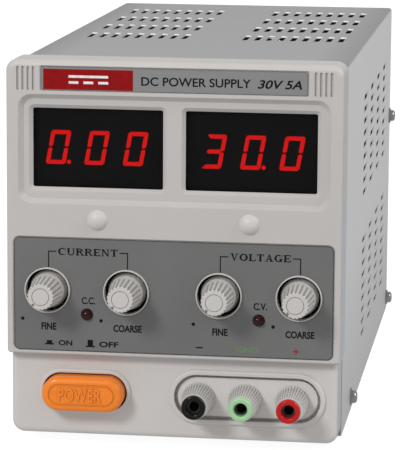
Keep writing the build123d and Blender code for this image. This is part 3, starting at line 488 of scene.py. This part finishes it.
def fuse_glass():
    """Glass tube fuse: plated caps at both ends and clear glass with the wire's grey between."""
    low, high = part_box("fuse")
    r = Recipe("fuse_glass", (0.62, 0.66, 0.66), 0.10)
    centre = (low.y + high.y) / 2
    cap_start = (high.y - low.y) / 2 - 0.0055
    from_middle = r.maths("ABSOLUTE", r.maths("SUBTRACT", r.axis("Y"), centre))
    cap = r.maths("GREATER_THAN", from_middle, cap_start)
    r.colour(r.mix(cap, (0.50, 0.56, 0.56), (0.72, 0.71, 0.68)))
    r.feed(cap, r.shader.inputs["Metallic"])
    r.rough(r.span(r.noise(1.0), 0.06, 0.22))
    return r.bump((r.noise(0.8), 0.01))


def wire_insulation():
    return polished("wire_insulation", (0.30, 0.025, 0.020), 0.36, mottle=0.1)


def cable_sheath():
    return moulded("cable_sheath", (0.035, 0.035, 0.037), 0.50, grain=1.6, depth=0.02, mottle=0.15)


def ribbon_sheath():
    """Flat grey ribbon with a ridge for each core, painted light that makes each crest paler and the grooves
    between darker, and one red edge.
    """
    low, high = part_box("ribbon_cable")
    base = (0.34, 0.34, 0.35)
    r = Recipe("ribbon_sheath", base, 0.45)
    across = r.maths("MULTIPLY", r.maths("SUBTRACT", r.axis("X"), low.x), 1 / 0.00127)
    ridge = r.maths("ABSOLUTE", r.maths("SUBTRACT", r.maths("FRACT", across), 0.5))
    red = r.maths("LESS_THAN", across, 1.0)
    # Painted light and shade: paler on each core's crest, darker between cores.
    r.colour(r.mix(red, r.ramp(ridge, (0.0, tint(base, 1.1)), (0.5, tint(base, 0.7))), (0.45, 0.03, 0.03)))
    r.rough(r.span(r.noise(0.5), 0.38, 0.52))
    return r.bump((r.maths("SUBTRACT", 0.5, ridge), 0.4))


def lit_segment():
    """A lit red segment, its glow a little uneven."""
    r = Recipe("lit_segment", (0.35, 0.01, 0.01), 0.4)
    glow = r.noise(0.9, detail=1.0)
    r.feed(r.ramp(glow, (0.3, (1.0, 0.004, 0.004)), (0.7, (1.0, 0.009, 0.008))),
           r.shader.inputs["Emission Color"])
    r.set(Emission_Strength=1.7)
    return r


def dark_segment():
    return moulded("dark_segment", (0.020, 0.014, 0.014), 0.5, grain=2.0, depth=0.01, mottle=0.1)


def ink(name, color, roughness=0.45):
    """Screen-printed ink: slightly uneven, with a soft edge to its gloss."""
    r = Recipe(name, color, roughness, Specular_IOR_Level=0.15)
    r.colour(r.ramp(r.noise(0.7, detail=4.0), (0.3, tint(color, 0.85)), (0.7, tint(color, 1.15))))
    r.rough(r.span(r.noise(1.5, detail=3.0), roughness - 0.08, roughness + 0.08))
    return r.bump((r.noise(3.0, detail=2.0), 0.004))


SLOT_RECIPES = {
    "bezel_plastic": bezel_plastic, "cover_paint": cover_paint, "chassis_steel": chassis_steel,
    "overlay_film": overlay_film, "strip_film": strip_film, "window_filter": window_filter,
    "lamp_red": lamp_red, "knob_plastic": knob_plastic, "button_orange": button_orange,
    "post_black": post_black, "post_green": post_green, "post_red": post_red,
    "post_cap_plastic": post_cap_plastic, "plate_plastic": plate_plastic,
    "bright_nickel": bright_nickel, "plated_brass": plated_brass, "foot_rubber": foot_rubber,
    "circuit_board": circuit_board, "black_moulding": black_moulding,
    "lamination_steel": lamination_steel, "coil_winding": coil_winding,
    "heatsink_aluminium": heatsink_aluminium, "capacitor_sleeve": capacitor_sleeve,
    "relay_shell": relay_shell, "fuse_glass": fuse_glass, "wire_insulation": wire_insulation,
    "cable_sheath": cable_sheath, "ribbon_sheath": ribbon_sheath,
}


def paint_the_frame():
    """Gives every CAD node the procedural material of its slot."""
    made = {}
    for row in frame["record"]["subparts"]:
        slot = row["material_slot"]
        if slot not in made:
            made[slot] = SLOT_RECIPES[slot]().material
        mesh = frame["nodes"][row["node"]].data
        mesh.materials.clear()
        mesh.materials.append(made[slot])
    return made


# ---------------------------------------------------------------- mesh helpers
def piece_from(mesh_data, name, material, body):
    """Turns a bmesh in the row frame into a finished piece."""
    mesh = bpy.data.meshes.new(name)
    bmesh.ops.remove_doubles(mesh_data, verts=mesh_data.verts, dist=1e-7)
    bmesh.ops.recalc_face_normals(mesh_data, faces=mesh_data.faces)
    mesh_data.to_mesh(mesh)
    mesh_data.free()
    mesh.materials.append(material)
    obj = bpy.data.objects.new(name, mesh)
    bpy.context.scene.collection.objects.link(obj)
    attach(obj, body)


def prism(mesh_data, outline, thickness):
    """A flat closed solid from an outline of (x, y) points, standing on the XY plane."""
    lower = [mesh_data.verts.new((x, y, 0.0)) for x, y in outline]
    upper = [mesh_data.verts.new((x, y, thickness)) for x, y in outline]
    mesh_data.faces.new(lower[::-1])
    mesh_data.faces.new(upper)
    count = len(outline)
    for here in range(count):
        after = (here + 1) % count
        mesh_data.faces.new((lower[here], lower[after], upper[after], upper[here]))


def bar(mesh_data, x0, y0, x1, y1, thickness):
    prism(mesh_data, [(x0, y0), (x1, y0), (x1, y1), (x0, y1)], thickness)


def band(mesh_data, centre, outer, inner, start, end, thickness, steps=14):
    """A stroke between two ellipses, from one angle to another in degrees."""
    angles = [math.radians(start + (end - start) * step / steps) for step in range(steps + 1)]
    rim = [(centre[0] + outer[0] * math.cos(a), centre[1] + outer[1] * math.sin(a)) for a in angles]
    core = [(centre[0] + inner[0] * math.cos(a), centre[1] + inner[1] * math.sin(a)) for a in angles]
    prism(mesh_data, rim + core[::-1], thickness)


def disc(mesh_data, x, y, radius, thickness, sides=24):
    turns = [2 * math.pi * side / sides for side in range(sides)]
    prism(mesh_data, [(x + radius * math.cos(a), y + radius * math.sin(a)) for a in turns], thickness)


def merged(mesh_data):
    """The same shape with its overlapping solids united into clean closed ones."""
    mesh = bpy.data.meshes.new("merge_source")
    mesh_data.to_mesh(mesh)
    mesh_data.free()
    pieces = bpy.data.objects.new("merge_source", mesh)
    seed_mesh = bpy.data.meshes.new("merge_seed")
    seed = bmesh.new()
    bar(seed, 990.0, 990.0, 991.0, 991.0, 1.0)
    seed.to_mesh(seed_mesh)
    seed.free()
    far = bpy.data.objects.new("merge_seed", seed_mesh)
    for obj in (pieces, far):
        bpy.context.scene.collection.objects.link(obj)
    union = pieces.modifiers.new("union", "BOOLEAN")
    union.operation = "UNION"
    union.solver = "EXACT"
    union.use_self = True
    union.object = far
    bpy.context.view_layer.update()
    result = bmesh.new()
    result.from_object(pieces, bpy.context.evaluated_depsgraph_get())
    bmesh.ops.delete(result, geom=[v for v in result.verts if v.co.x > 900], context="VERTS")
    for obj in (pieces, far):
        bpy.data.objects.remove(obj)
    return result


def word(text, width, height, thickness, weight=0.0, lean=0.0, spacing=1.0):
    """A word in Blender's own typeface as a bmesh, in millimetres, fitted to a width and height, centred."""
    curve = bpy.data.curves.new("word", "FONT")
    curve.body = text
    curve.size = 1.0
    curve.offset = weight
    curve.shear = lean
    curve.space_character = spacing
    curve.extrude = 0.05
    curve.resolution_u = 5
    curve.fill_mode = "BOTH"
    text_object = bpy.data.objects.new("word", curve)
    bpy.context.scene.collection.objects.link(text_object)
    bpy.context.view_layer.update()
    mesh = bpy.data.meshes.new_from_object(text_object.evaluated_get(bpy.context.evaluated_depsgraph_get()))
    bpy.data.objects.remove(text_object)
    result = bmesh.new()
    result.from_mesh(mesh)
    bpy.data.meshes.remove(mesh)
    bmesh.ops.remove_doubles(result, verts=result.verts, dist=1e-5)
    low = [min(v.co[i] for v in result.verts) for i in range(3)]
    high = [max(v.co[i] for v in result.verts) for i in range(3)]
    for vert in result.verts:
        vert.co.x = ((vert.co.x - low[0]) / (high[0] - low[0]) - 0.5) * width
        vert.co.y = ((vert.co.y - low[1]) / (high[1] - low[1]) - 0.5) * height
        vert.co.z = (vert.co.z - low[2]) / (high[2] - low[2]) * thickness
    return result


def add_to(target, source, x=0.0, y=0.0):
    """Copies one bmesh into another, moved by (x, y)."""
    mesh = bpy.data.meshes.new("copy")
    bmesh.ops.translate(source, verts=source.verts, vec=(x, y, 0.0))
    source.to_mesh(mesh)
    source.free()
    target.from_mesh(mesh)
    bpy.data.meshes.remove(mesh)


def onto_front(mesh_data, face_y, sunk=0.02):
    """Lays a flat drawing, in millimetres with X across and Y up, on a face that looks to the front."""
    for vert in mesh_data.verts:
        x, y, z = vert.co
        vert.co = Vector((x * MM, face_y - (z - sunk) * MM, y * MM))
    return mesh_data


def onto_back(mesh_data, face_y, sunk=0.02):
    """Lays a flat drawing on a face that looks to the rear, so that it reads from behind."""
    for vert in mesh_data.verts:
        x, y, z = vert.co
        vert.co = Vector((-x * MM, face_y + (z - sunk) * MM, y * MM))
    return mesh_data


# ---------------------------------------------------------------- serif capitals
# Every letter is drawn with a height of 1 and a width w, and is t thick.
STEM = 0.25            # width of thick strokes
HAIR = 0.13            # width of thin strokes
SERIF = 0.10           # serif height
OVERHANG = 0.085       # how far a serif stands out from its stem


def stem(m, x, t, low=0.0, thick=STEM, foot=True):
    """An upright stroke up to the capital height, with a serif on top and perhaps one at its foot."""
    bar(m, x, low, x + thick, 1.0, t)
    if foot:
        bar(m, x - OVERHANG, low, x + thick + OVERHANG, low + SERIF, t)
    bar(m, x - OVERHANG, 1.0 - SERIF, x + thick + OVERHANG, 1.0, t)


def letter_c(m, w, t):
    a, b = w / 2, 0.5
    band(m, (a, b), (a, b + 0.01), (a - STEM, b - HAIR), 52, 308, t, 22)
    bar(m, w - 0.13, 0.66, w - 0.04, 0.99, t)
    bar(m, w - 0.12, 0.05, w - 0.05, 0.22, t)


def letter_g(m, w, t):
    letter_c(m, w, t)
    bar(m, w - 0.12 - STEM, 0.04, w - 0.12, 0.42, t)
    bar(m, w - 0.42, 0.36, w, 0.36 + SERIF, t)


def letter_o(m, w, t):
    a = w / 2
    for start in (0, 180):
        band(m, (a, 0.5), (a, 0.51), (a - STEM, 0.5 - HAIR), start, start + 180, t, 18)


def letter_u(m, w, t):
    left, right = 0.10, w - 0.10
    knee = 0.36
    stem(m, left, t, knee - 0.01, foot=False)
    stem(m, right - HAIR, t, knee - 0.01, thick=HAIR, foot=False)
    centre = ((left + right) / 2, knee)
    half = (right - left) / 2
    band(m, centre, (half, knee + 0.01), (half - 0.15, knee - HAIR), 180, 360, t, 16)


def letter_r(m, w, t):
    stem(m, OVERHANG, t)
    edge = OVERHANG + STEM
    reach = w - edge - 0.10
    band(m, (edge, 0.745), (reach, 0.255), (reach - STEM, 0.255 - HAIR), -90, 90, t, 14)
    leg = [(edge + 0.06, 0.53), (edge + 0.30, 0.53), (w - 0.02, SERIF), (w - 0.27, SERIF)]
    prism(m, leg[::-1], t)
    bar(m, w - 0.30, 0.0, w + 0.04, SERIF, t)


def letter_e(m, w, t):
    stem(m, OVERHANG, t)
    bar(m, OVERHANG, 1 - HAIR, w, 1, t)
    bar(m, OVERHANG, 0, w, HAIR, t)
    bar(m, OVERHANG + 0.1, 0.5 - HAIR / 2, w - 0.24, 0.5 + HAIR / 2, t)
    bar(m, w - 0.08, 0.70, w, 1, t)
    bar(m, w - 0.08, 0, w, 0.30, t)
    bar(m, w - 0.29, 0.35, w - 0.22, 0.65, t)


def letter_n(m, w, t):
    stem(m, 0.12, t, thick=HAIR)
    stem(m, w - 0.12 - HAIR, t, thick=HAIR, foot=False)
    prism(m, [(0.05, 1.0), (w - 0.12 - 0.16, 0.0), (w - 0.12, 0.0), (0.05 + 0.26, 1.0)], t)


def letter_t(m, w, t):
    stem(m, w / 2 - STEM / 2, t)
    bar(m, 0.02, 1 - HAIR, w - 0.02, 1, t)
    bar(m, 0.02, 0.70, 0.10, 1, t)
    bar(m, w - 0.10, 0.70, w - 0.02, 1, t)


def letter_l(m, w, t):
    stem(m, OVERHANG, t)
    bar(m, OVERHANG, 0, w, HAIR, t)
    bar(m, w - 0.08, 0, w, 0.32, t)


def letter_v(m, w, t):
    prism(m, [(0.10, 1.0), (w / 2 - 0.06, 0.0), (w / 2 + 0.06, 0.0), (0.35, 1.0)], t)
    prism(m, [(w / 2 - 0.05, 0.0), (w / 2 + 0.06, 0.0), (w - 0.12, 1.0), (w - 0.24, 1.0)], t)
    bar(m, 0.0, 1 - SERIF, 0.45, 1, t)
    bar(m, w - 0.34, 1 - SERIF, w, 1, t)


def letter_a(m, w, t):
    prism(m, [(0.10, 0.0), (0.22, 0.0), (w / 2 + 0.04, 1.0), (w / 2 - 0.06, 1.0)], t)
    prism(m, [(w - 0.36, 0.0), (w - 0.10, 0.0), (w / 2 + 0.06, 1.0), (w / 2 - 0.08, 1.0)], t)
    bar(m, 0.26, 0.28, w - 0.28, 0.28 + HAIR, t)
    bar(m, 0.0, 0.0, 0.34, SERIF, t)
    bar(m, w - 0.46, 0.0, w, SERIF, t)


SERIF_LETTERS = {       # how each capital is drawn, and its width
    "C": (letter_c, 0.98), "G": (letter_g, 1.02), "O": (letter_o, 1.04), "U": (letter_u, 1.04),
    "R": (letter_r, 1.00), "E": (letter_e, 0.90), "N": (letter_n, 1.04), "T": (letter_t, 0.94),
    "L": (letter_l, 0.86), "V": (letter_v, 1.04), "A": (letter_a, 1.04),
}


def serif_word(text, width, height, thickness, gap=0.13):
    """A word in wide serif capitals, in millimetres, fitted to a width and height, centred."""
    total = sum(SERIF_LETTERS[letter][1] for letter in text) + gap * (len(text) - 1)
    across, up = width / total, height
    result = bmesh.new()
    start = 0.0
    for letter in text:
        draw, letter_width = SERIF_LETTERS[letter]
        one = bmesh.new()
        draw(one, letter_width, thickness)
        one = merged(one)
        for vert in one.verts:
            vert.co.x = (vert.co.x + start - total / 2) * across
            vert.co.y = (vert.co.y - 0.5) * up
        add_to(result, one)
        start += letter_width + gap
    return result


# ---------------------------------------------------------------- printing on the overlay
INK = 0.05            # thickness of printed ink and of the strip's block, in millimetres
LINE = 0.44           # bracket line width


def knob_label(target, control, text, width):
    centre = KNOB_CENTRES[control] / MM
    add_to(target, word(text, width, 2.95, INK, weight=0.034), centre.x + 0.5, centre.z - 14.9)


def bracket(target, left, right, text):
    """A title over a pair of knobs, with lines that lead from it down to both knob rings."""
    title_z = KNOB_CENTRES[left].z / MM + 15.95
    start = KNOB_CENTRES[left].x / MM + 0.45
    end = KNOB_CENTRES[right].x / MM + 0.45
    text_centre = (start + end) / 2
    text_half = 12.15
    ring_top = KNOB_CENTRES[left].z / MM + 9.3
    lines = bmesh.new()
    half = LINE / 2
    for edge, side in ((start, 1), (end, -1)):
        bar(lines, edge - half, ring_top, edge + half, title_z + half, INK)
        inner = text_centre - side * (text_half + 0.75)
        bar(lines, min(edge, inner), title_z - half, max(edge, inner), title_z + half, INK)
    add_to(target, merged(lines))
    add_to(target, serif_word(text, 2 * text_half, 2.9, INK), text_centre, title_z)


def push_icon(target, x, z, height):
    """The sign for a push button: a block that stands on a line."""
    icon = bmesh.new()
    bar(icon, -1.9, 0.0, 1.9, 0.55, INK)
    bar(icon, -1.1, 0.0, 1.1, height, INK)
    add_to(target, merged(icon), x, z)


def print_overlay(black, green, red):
    """All the legends on the control overlay."""
    m = bmesh.new()
    bracket(m, "current_fine", "current_coarse", "CURRENT")
    bracket(m, "voltage_fine", "voltage_coarse", "VOLTAGE")
    for control in CONTROLS:
        fine = control.endswith("fine")
        knob_label(m, control, "FINE" if fine else "COARSE", 6.2 if fine else 11.6)
        centre = KNOB_CENTRES[control] / MM
        disc(m, centre.x - 10.3, centre.z - 12.0, 0.72, INK)
    lamp_low, lamp_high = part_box("indicator_leds")
    lamp_z = middle("indicator_leds").z / MM
    for x, text in ((lamp_low.x / MM + 2.9, "C.C."), (lamp_high.x / MM - 2.9, "C.V.")):
        add_to(m, word(text, 5.5, 2.9, INK, weight=0.024), x + 0.6, lamp_z + 5.7)
    button = middle("power_button") / MM
    negative, ground, positive = (POST_CENTRES[name] for name in POSTS)
    legend_z = button.z + 20.7
    push_icon(m, button.x - 13.9, legend_z - 0.9, 1.8)
    add_to(m, word("ON", 5.6, 2.2, INK, weight=0.03), button.x - 7.3, legend_z)
    push_icon(m, button.x + 2.9, legend_z - 1.4, 3.0)
    add_to(m, word("OFF", 7.9, 2.3, INK, weight=0.03), button.x + 10.5, legend_z - 0.1)
    post_z = ground.z / MM + 22.1
    bar(m, negative.x / MM - 0.6, post_z - 0.1, negative.x / MM + 2.2, post_z + 0.45, INK)
    piece_from(onto_front(m, OVERLAY_FACE), "overlay_legends", black, "case")

    m = bmesh.new()
    add_to(m, word("GND", 9.2, 2.2, INK, weight=-0.012), ground.x / MM + 1.2, post_z)
    piece_from(onto_front(m, OVERLAY_FACE), "overlay_legend_ground", green, "case")

    plus = bmesh.new()
    bar(plus, -1.35, -0.22, 1.35, 0.22, INK)
    bar(plus, -0.22, -1.35, 0.22, 1.35, INK)
    m = bmesh.new()
    add_to(m, merged(plus), positive.x / MM + 1.75, post_z - 0.1)
    piece_from(onto_front(m, OVERLAY_FACE), "overlay_legend_plus", red, "case")


def print_strip(black, red, white):
    """The name strip: a plain red block with the direct-current sign, a generic title and the rating."""
    low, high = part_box("name_strip")
    z = (low.z + high.z) / 2 / MM
    left = low.x / MM
    block = bmesh.new()
    bar(block, left + 0.7, z - 4.3, left + 37.0, z + 3.9, INK)
    piece_from(onto_front(block, STRIP_FACE), "strip_block", red, "case")

    sign = bmesh.new()
    centre = left + 19.0
    bar(sign, centre - 8.0, z + 0.5, centre + 8.0, z + 1.5, 2 * INK)
    for step in (-1, 0, 1):
        bar(sign, centre + step * 6.0 - 2.0, z - 1.9, centre + step * 6.0 + 2.0, z - 0.9, 2 * INK)
    piece_from(onto_front(sign, STRIP_FACE), "strip_direct_current_sign", white, "case")

    m = bmesh.new()
    add_to(m, word("DC POWER SUPPLY", 43.8, 3.5, INK, weight=0.016), left + 62.2, z - 0.35)
    add_to(m, word("30V 5A", 17.6, 3.5, INK, lean=0.25, weight=0.022), left + 95.6, z - 0.45)
    piece_from(onto_front(m, STRIP_FACE), "strip_title", black, "case")


# ---------------------------------------------------------------- meter digits
DIGIT_HEIGHT = 13.8             # all in millimetres
DIGIT_WIDTH = 8.1
SEGMENT = 1.65                  # width of a segment
SEGMENT_GAP = 0.16
SEGMENT_DEPTH = 0.12
DIGIT_PITCH = 15.7
POINT_RADIUS = 0.85
METER_SHIFT = {"left": (-0.85, -0.15), "right": (0.35, -0.35)}     # from the middle of the pane
DIGIT_LEAN = math.tan(math.radians(10.5))
SEGMENTS_OF = {"0": "abcdef", "3": "abcdg"}


def segment_outlines():
    """The seven segments of one digit as outlines about the digit's centre, before it leans."""
    w, h, t, g = DIGIT_WIDTH / 2, DIGIT_HEIGHT / 2, SEGMENT, SEGMENT_GAP / 2
    cut = 0.62                      # how far the outer corners are cut back
    top = [(-w + cut + g, h), (w - cut - g, h), (w - cut * 0.5 - g, h - cut * 0.5),
           (w - t - g, h - t), (-w + t + g, h - t), (-w + cut * 0.5 + g, h - cut * 0.5)]
    upper = [(w - cut * 0.5, h - cut * 0.5 - g), (w, h - cut - g), (w, 0.62), (w - t / 2, 0.24),
             (w - t, 0.62), (w - t, h - t - g)]
    mid = t / 2
    bridge = [(-w + t / 2 + 0.25, 0.0), (-w + t + 0.2, mid), (w - t - 0.2, mid), (w - t / 2 - 0.25, 0.0),
              (w - t - 0.2, -mid), (-w + t + 0.2, -mid)]

    def flip_x(points):
        return [(-x, y) for x, y in points][::-1]

    def flip_y(points):
        return [(x, -y) for x, y in points][::-1]

    return {"a": top, "b": upper, "c": flip_y(upper), "d": flip_y(top), "e": flip_x(flip_y(upper)),
            "f": flip_x(upper), "g": bridge}


def leaned(points):
    return [(x + y * DIGIT_LEAN, y) for x, y in points]


def meter(side, text, point_after, lit, unlit):
    """One three-digit meter: lit segments and the dark ones beside them, on the face of its module."""
    face = front_of("display_modules")
    pane = middle("display_window_" + side) / MM
    glowing, dark = bmesh.new(), bmesh.new()
    outlines = segment_outlines()
    for place, digit in enumerate(text):
        x = pane.x + METER_SHIFT[side][0] + (place - 1) * DIGIT_PITCH
        z = pane.z + METER_SHIFT[side][1]
        for label, outline in outlines.items():
            target = glowing if label in SEGMENTS_OF[digit] else dark
            prism(target, [(x + px, z + py) for px, py in leaned(outline)][::-1], SEGMENT_DEPTH)
        target = glowing if place == point_after else dark
        foot = x + DIGIT_WIDTH / 2 - DIGIT_HEIGHT / 2 * DIGIT_LEAN
        disc(target, foot + 1.45, z - DIGIT_HEIGHT / 2 + 0.95, POINT_RADIUS, SEGMENT_DEPTH)
    piece_from(onto_front(glowing, face, 0.0), "meter_lit_" + side, lit, "case")
    piece_from(onto_front(dark, face, 0.0), "meter_unlit_" + side, unlit, "case")


# ---------------------------------------------------------------- power button lettering
def button_lettering(orange):
    """Raised letters in the orange cap's shallow panel."""
    m = word("POWER", 17.6, 5.7, 0.45, weight=0.02, spacing=1.06)
    centre = middle("power_button") / MM
    bmesh.ops.translate(m, verts=m.verts, vec=(centre.x - 0.7, centre.z + 0.15, 0.0))
    m = onto_front(m, front_of("power_button"))
    piece_from(m, "button_lettering", orange, "power_button")


def rear_legends(black):
    inlet = middle("iec_inlet") / MM
    m = bmesh.new()
    add_to(m, word("AC INPUT", 20.0, 2.8, INK), -inlet.x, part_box("iec_inlet")[1].z / MM + 4.0)
    piece_from(onto_back(m, PANEL_BACK), "rear_legends", black, "case")


# ---------------------------------------------------------------- stage, lights and camera
def area_light(name, place, target, size, power, color):
    light = bpy.data.lights.new(name, "AREA")
    light.shape = "DISK"
    light.size = size
    light.energy = power
    light.color = color
    obj = bpy.data.objects.new(name, light)
    obj.location = place
    obj.rotation_mode = "QUATERNION"
    obj.rotation_quaternion = (Vector(target) - Vector(place)).to_track_quat("-Z", "Y")
    bpy.context.scene.collection.objects.link(obj)


FLOOR_SIZE = 14.0


def studio():
    """A pale floor that gives off its own light, an even white world, a key light and a fill."""
    floor_recipe = Recipe("stage_floor", (0.30, 0.30, 0.30), 0.6, Specular_IOR_Level=0.0)
    floor_recipe.set(Emission_Color=(1.0, 1.0, 1.0, 1.0), Emission_Strength=0.88)
    floor_recipe.rough(floor_recipe.span(floor_recipe.noise(0.01), 0.55, 0.7))
    m = bmesh.new()
    bmesh.ops.create_grid(m, x_segments=2, y_segments=2, size=FLOOR_SIZE)
    mesh = bpy.data.meshes.new("stage_floor")
    m.to_mesh(mesh)
    m.free()
    mesh.materials.append(floor_recipe.material)
    floor = bpy.data.objects.new("stage_floor", mesh)
    bpy.context.scene.collection.objects.link(floor)
    floor.visible_diffuse = False
    floor.visible_glossy = False

    world = bpy.data.worlds.new("studio_world")
    world.use_nodes = True
    background = world.node_tree.nodes["Background"]
    background.inputs["Color"].default_value = (1.0, 1.0, 1.0, 1.0)
    background.inputs["Strength"].default_value = 0.58
    bpy.context.scene.world = world

    area_light("key", (-0.75, -1.35, 1.05), (0.0, -0.05, 0.06), 0.45, 12.9, (1.0, 1.0, 1.0))
    area_light("fill", (1.15, -0.25, 0.95), (0.05, 0.0, 0.08), 0.8, 8.0, (0.99, 0.995, 1.0))


CAMERA_PLACE = (0.15341, -1.16021, 0.27581)
CAMERA_AZIMUTH = 8.036         # degrees the camera stands to the object's right
CAMERA_PITCH = 9.519           # degrees it looks down
CAMERA_ROLL = 0.356
CAMERA_LENS = 210.88
CAMERA_SHIFT = (0.01586, -0.04405)


def camera():
    data = bpy.data.cameras.new("camera")
    data.sensor_width = 36.0
    data.lens = CAMERA_LENS
    data.shift_x, data.shift_y = CAMERA_SHIFT
    data.clip_start = 0.05
    data.clip_end = 60.0
    obj = bpy.data.objects.new("camera", data)
    turn = Matrix.Rotation(math.radians(CAMERA_AZIMUTH), 4, "Z")
    tilt = Matrix.Rotation(math.radians(90.0 - CAMERA_PITCH), 4, "X")
    roll = Matrix.Rotation(math.radians(CAMERA_ROLL), 4, "Z")
    obj.matrix_world = Matrix.Translation(CAMERA_PLACE) @ turn @ tilt @ roll
    bpy.context.scene.collection.objects.link(obj)
    bpy.context.scene.camera = obj


# ---------------------------------------------------------------- build
materials = paint_the_frame()
black_ink = ink("black_ink", (0.004, 0.004, 0.0045)).material
print_overlay(
    black_ink,
    ink("green_ink", (0.13, 0.30, 0.09)).material,
    ink("red_ink", (0.30, 0.012, 0.012)).material,
)
print_strip(
    black_ink,
    ink("block_red", (0.27, 0.001, 0.002), 0.55).material,
    ink("block_white", (0.80, 0.78, 0.76), 0.35).material,
)
lit, unlit = lit_segment().material, dark_segment().material
meter("left", "000", 0, lit, unlit)
meter("right", "300", 1, lit, unlit)
button_lettering(materials["button_orange"])
rear_legends(black_ink)
studio()
camera()
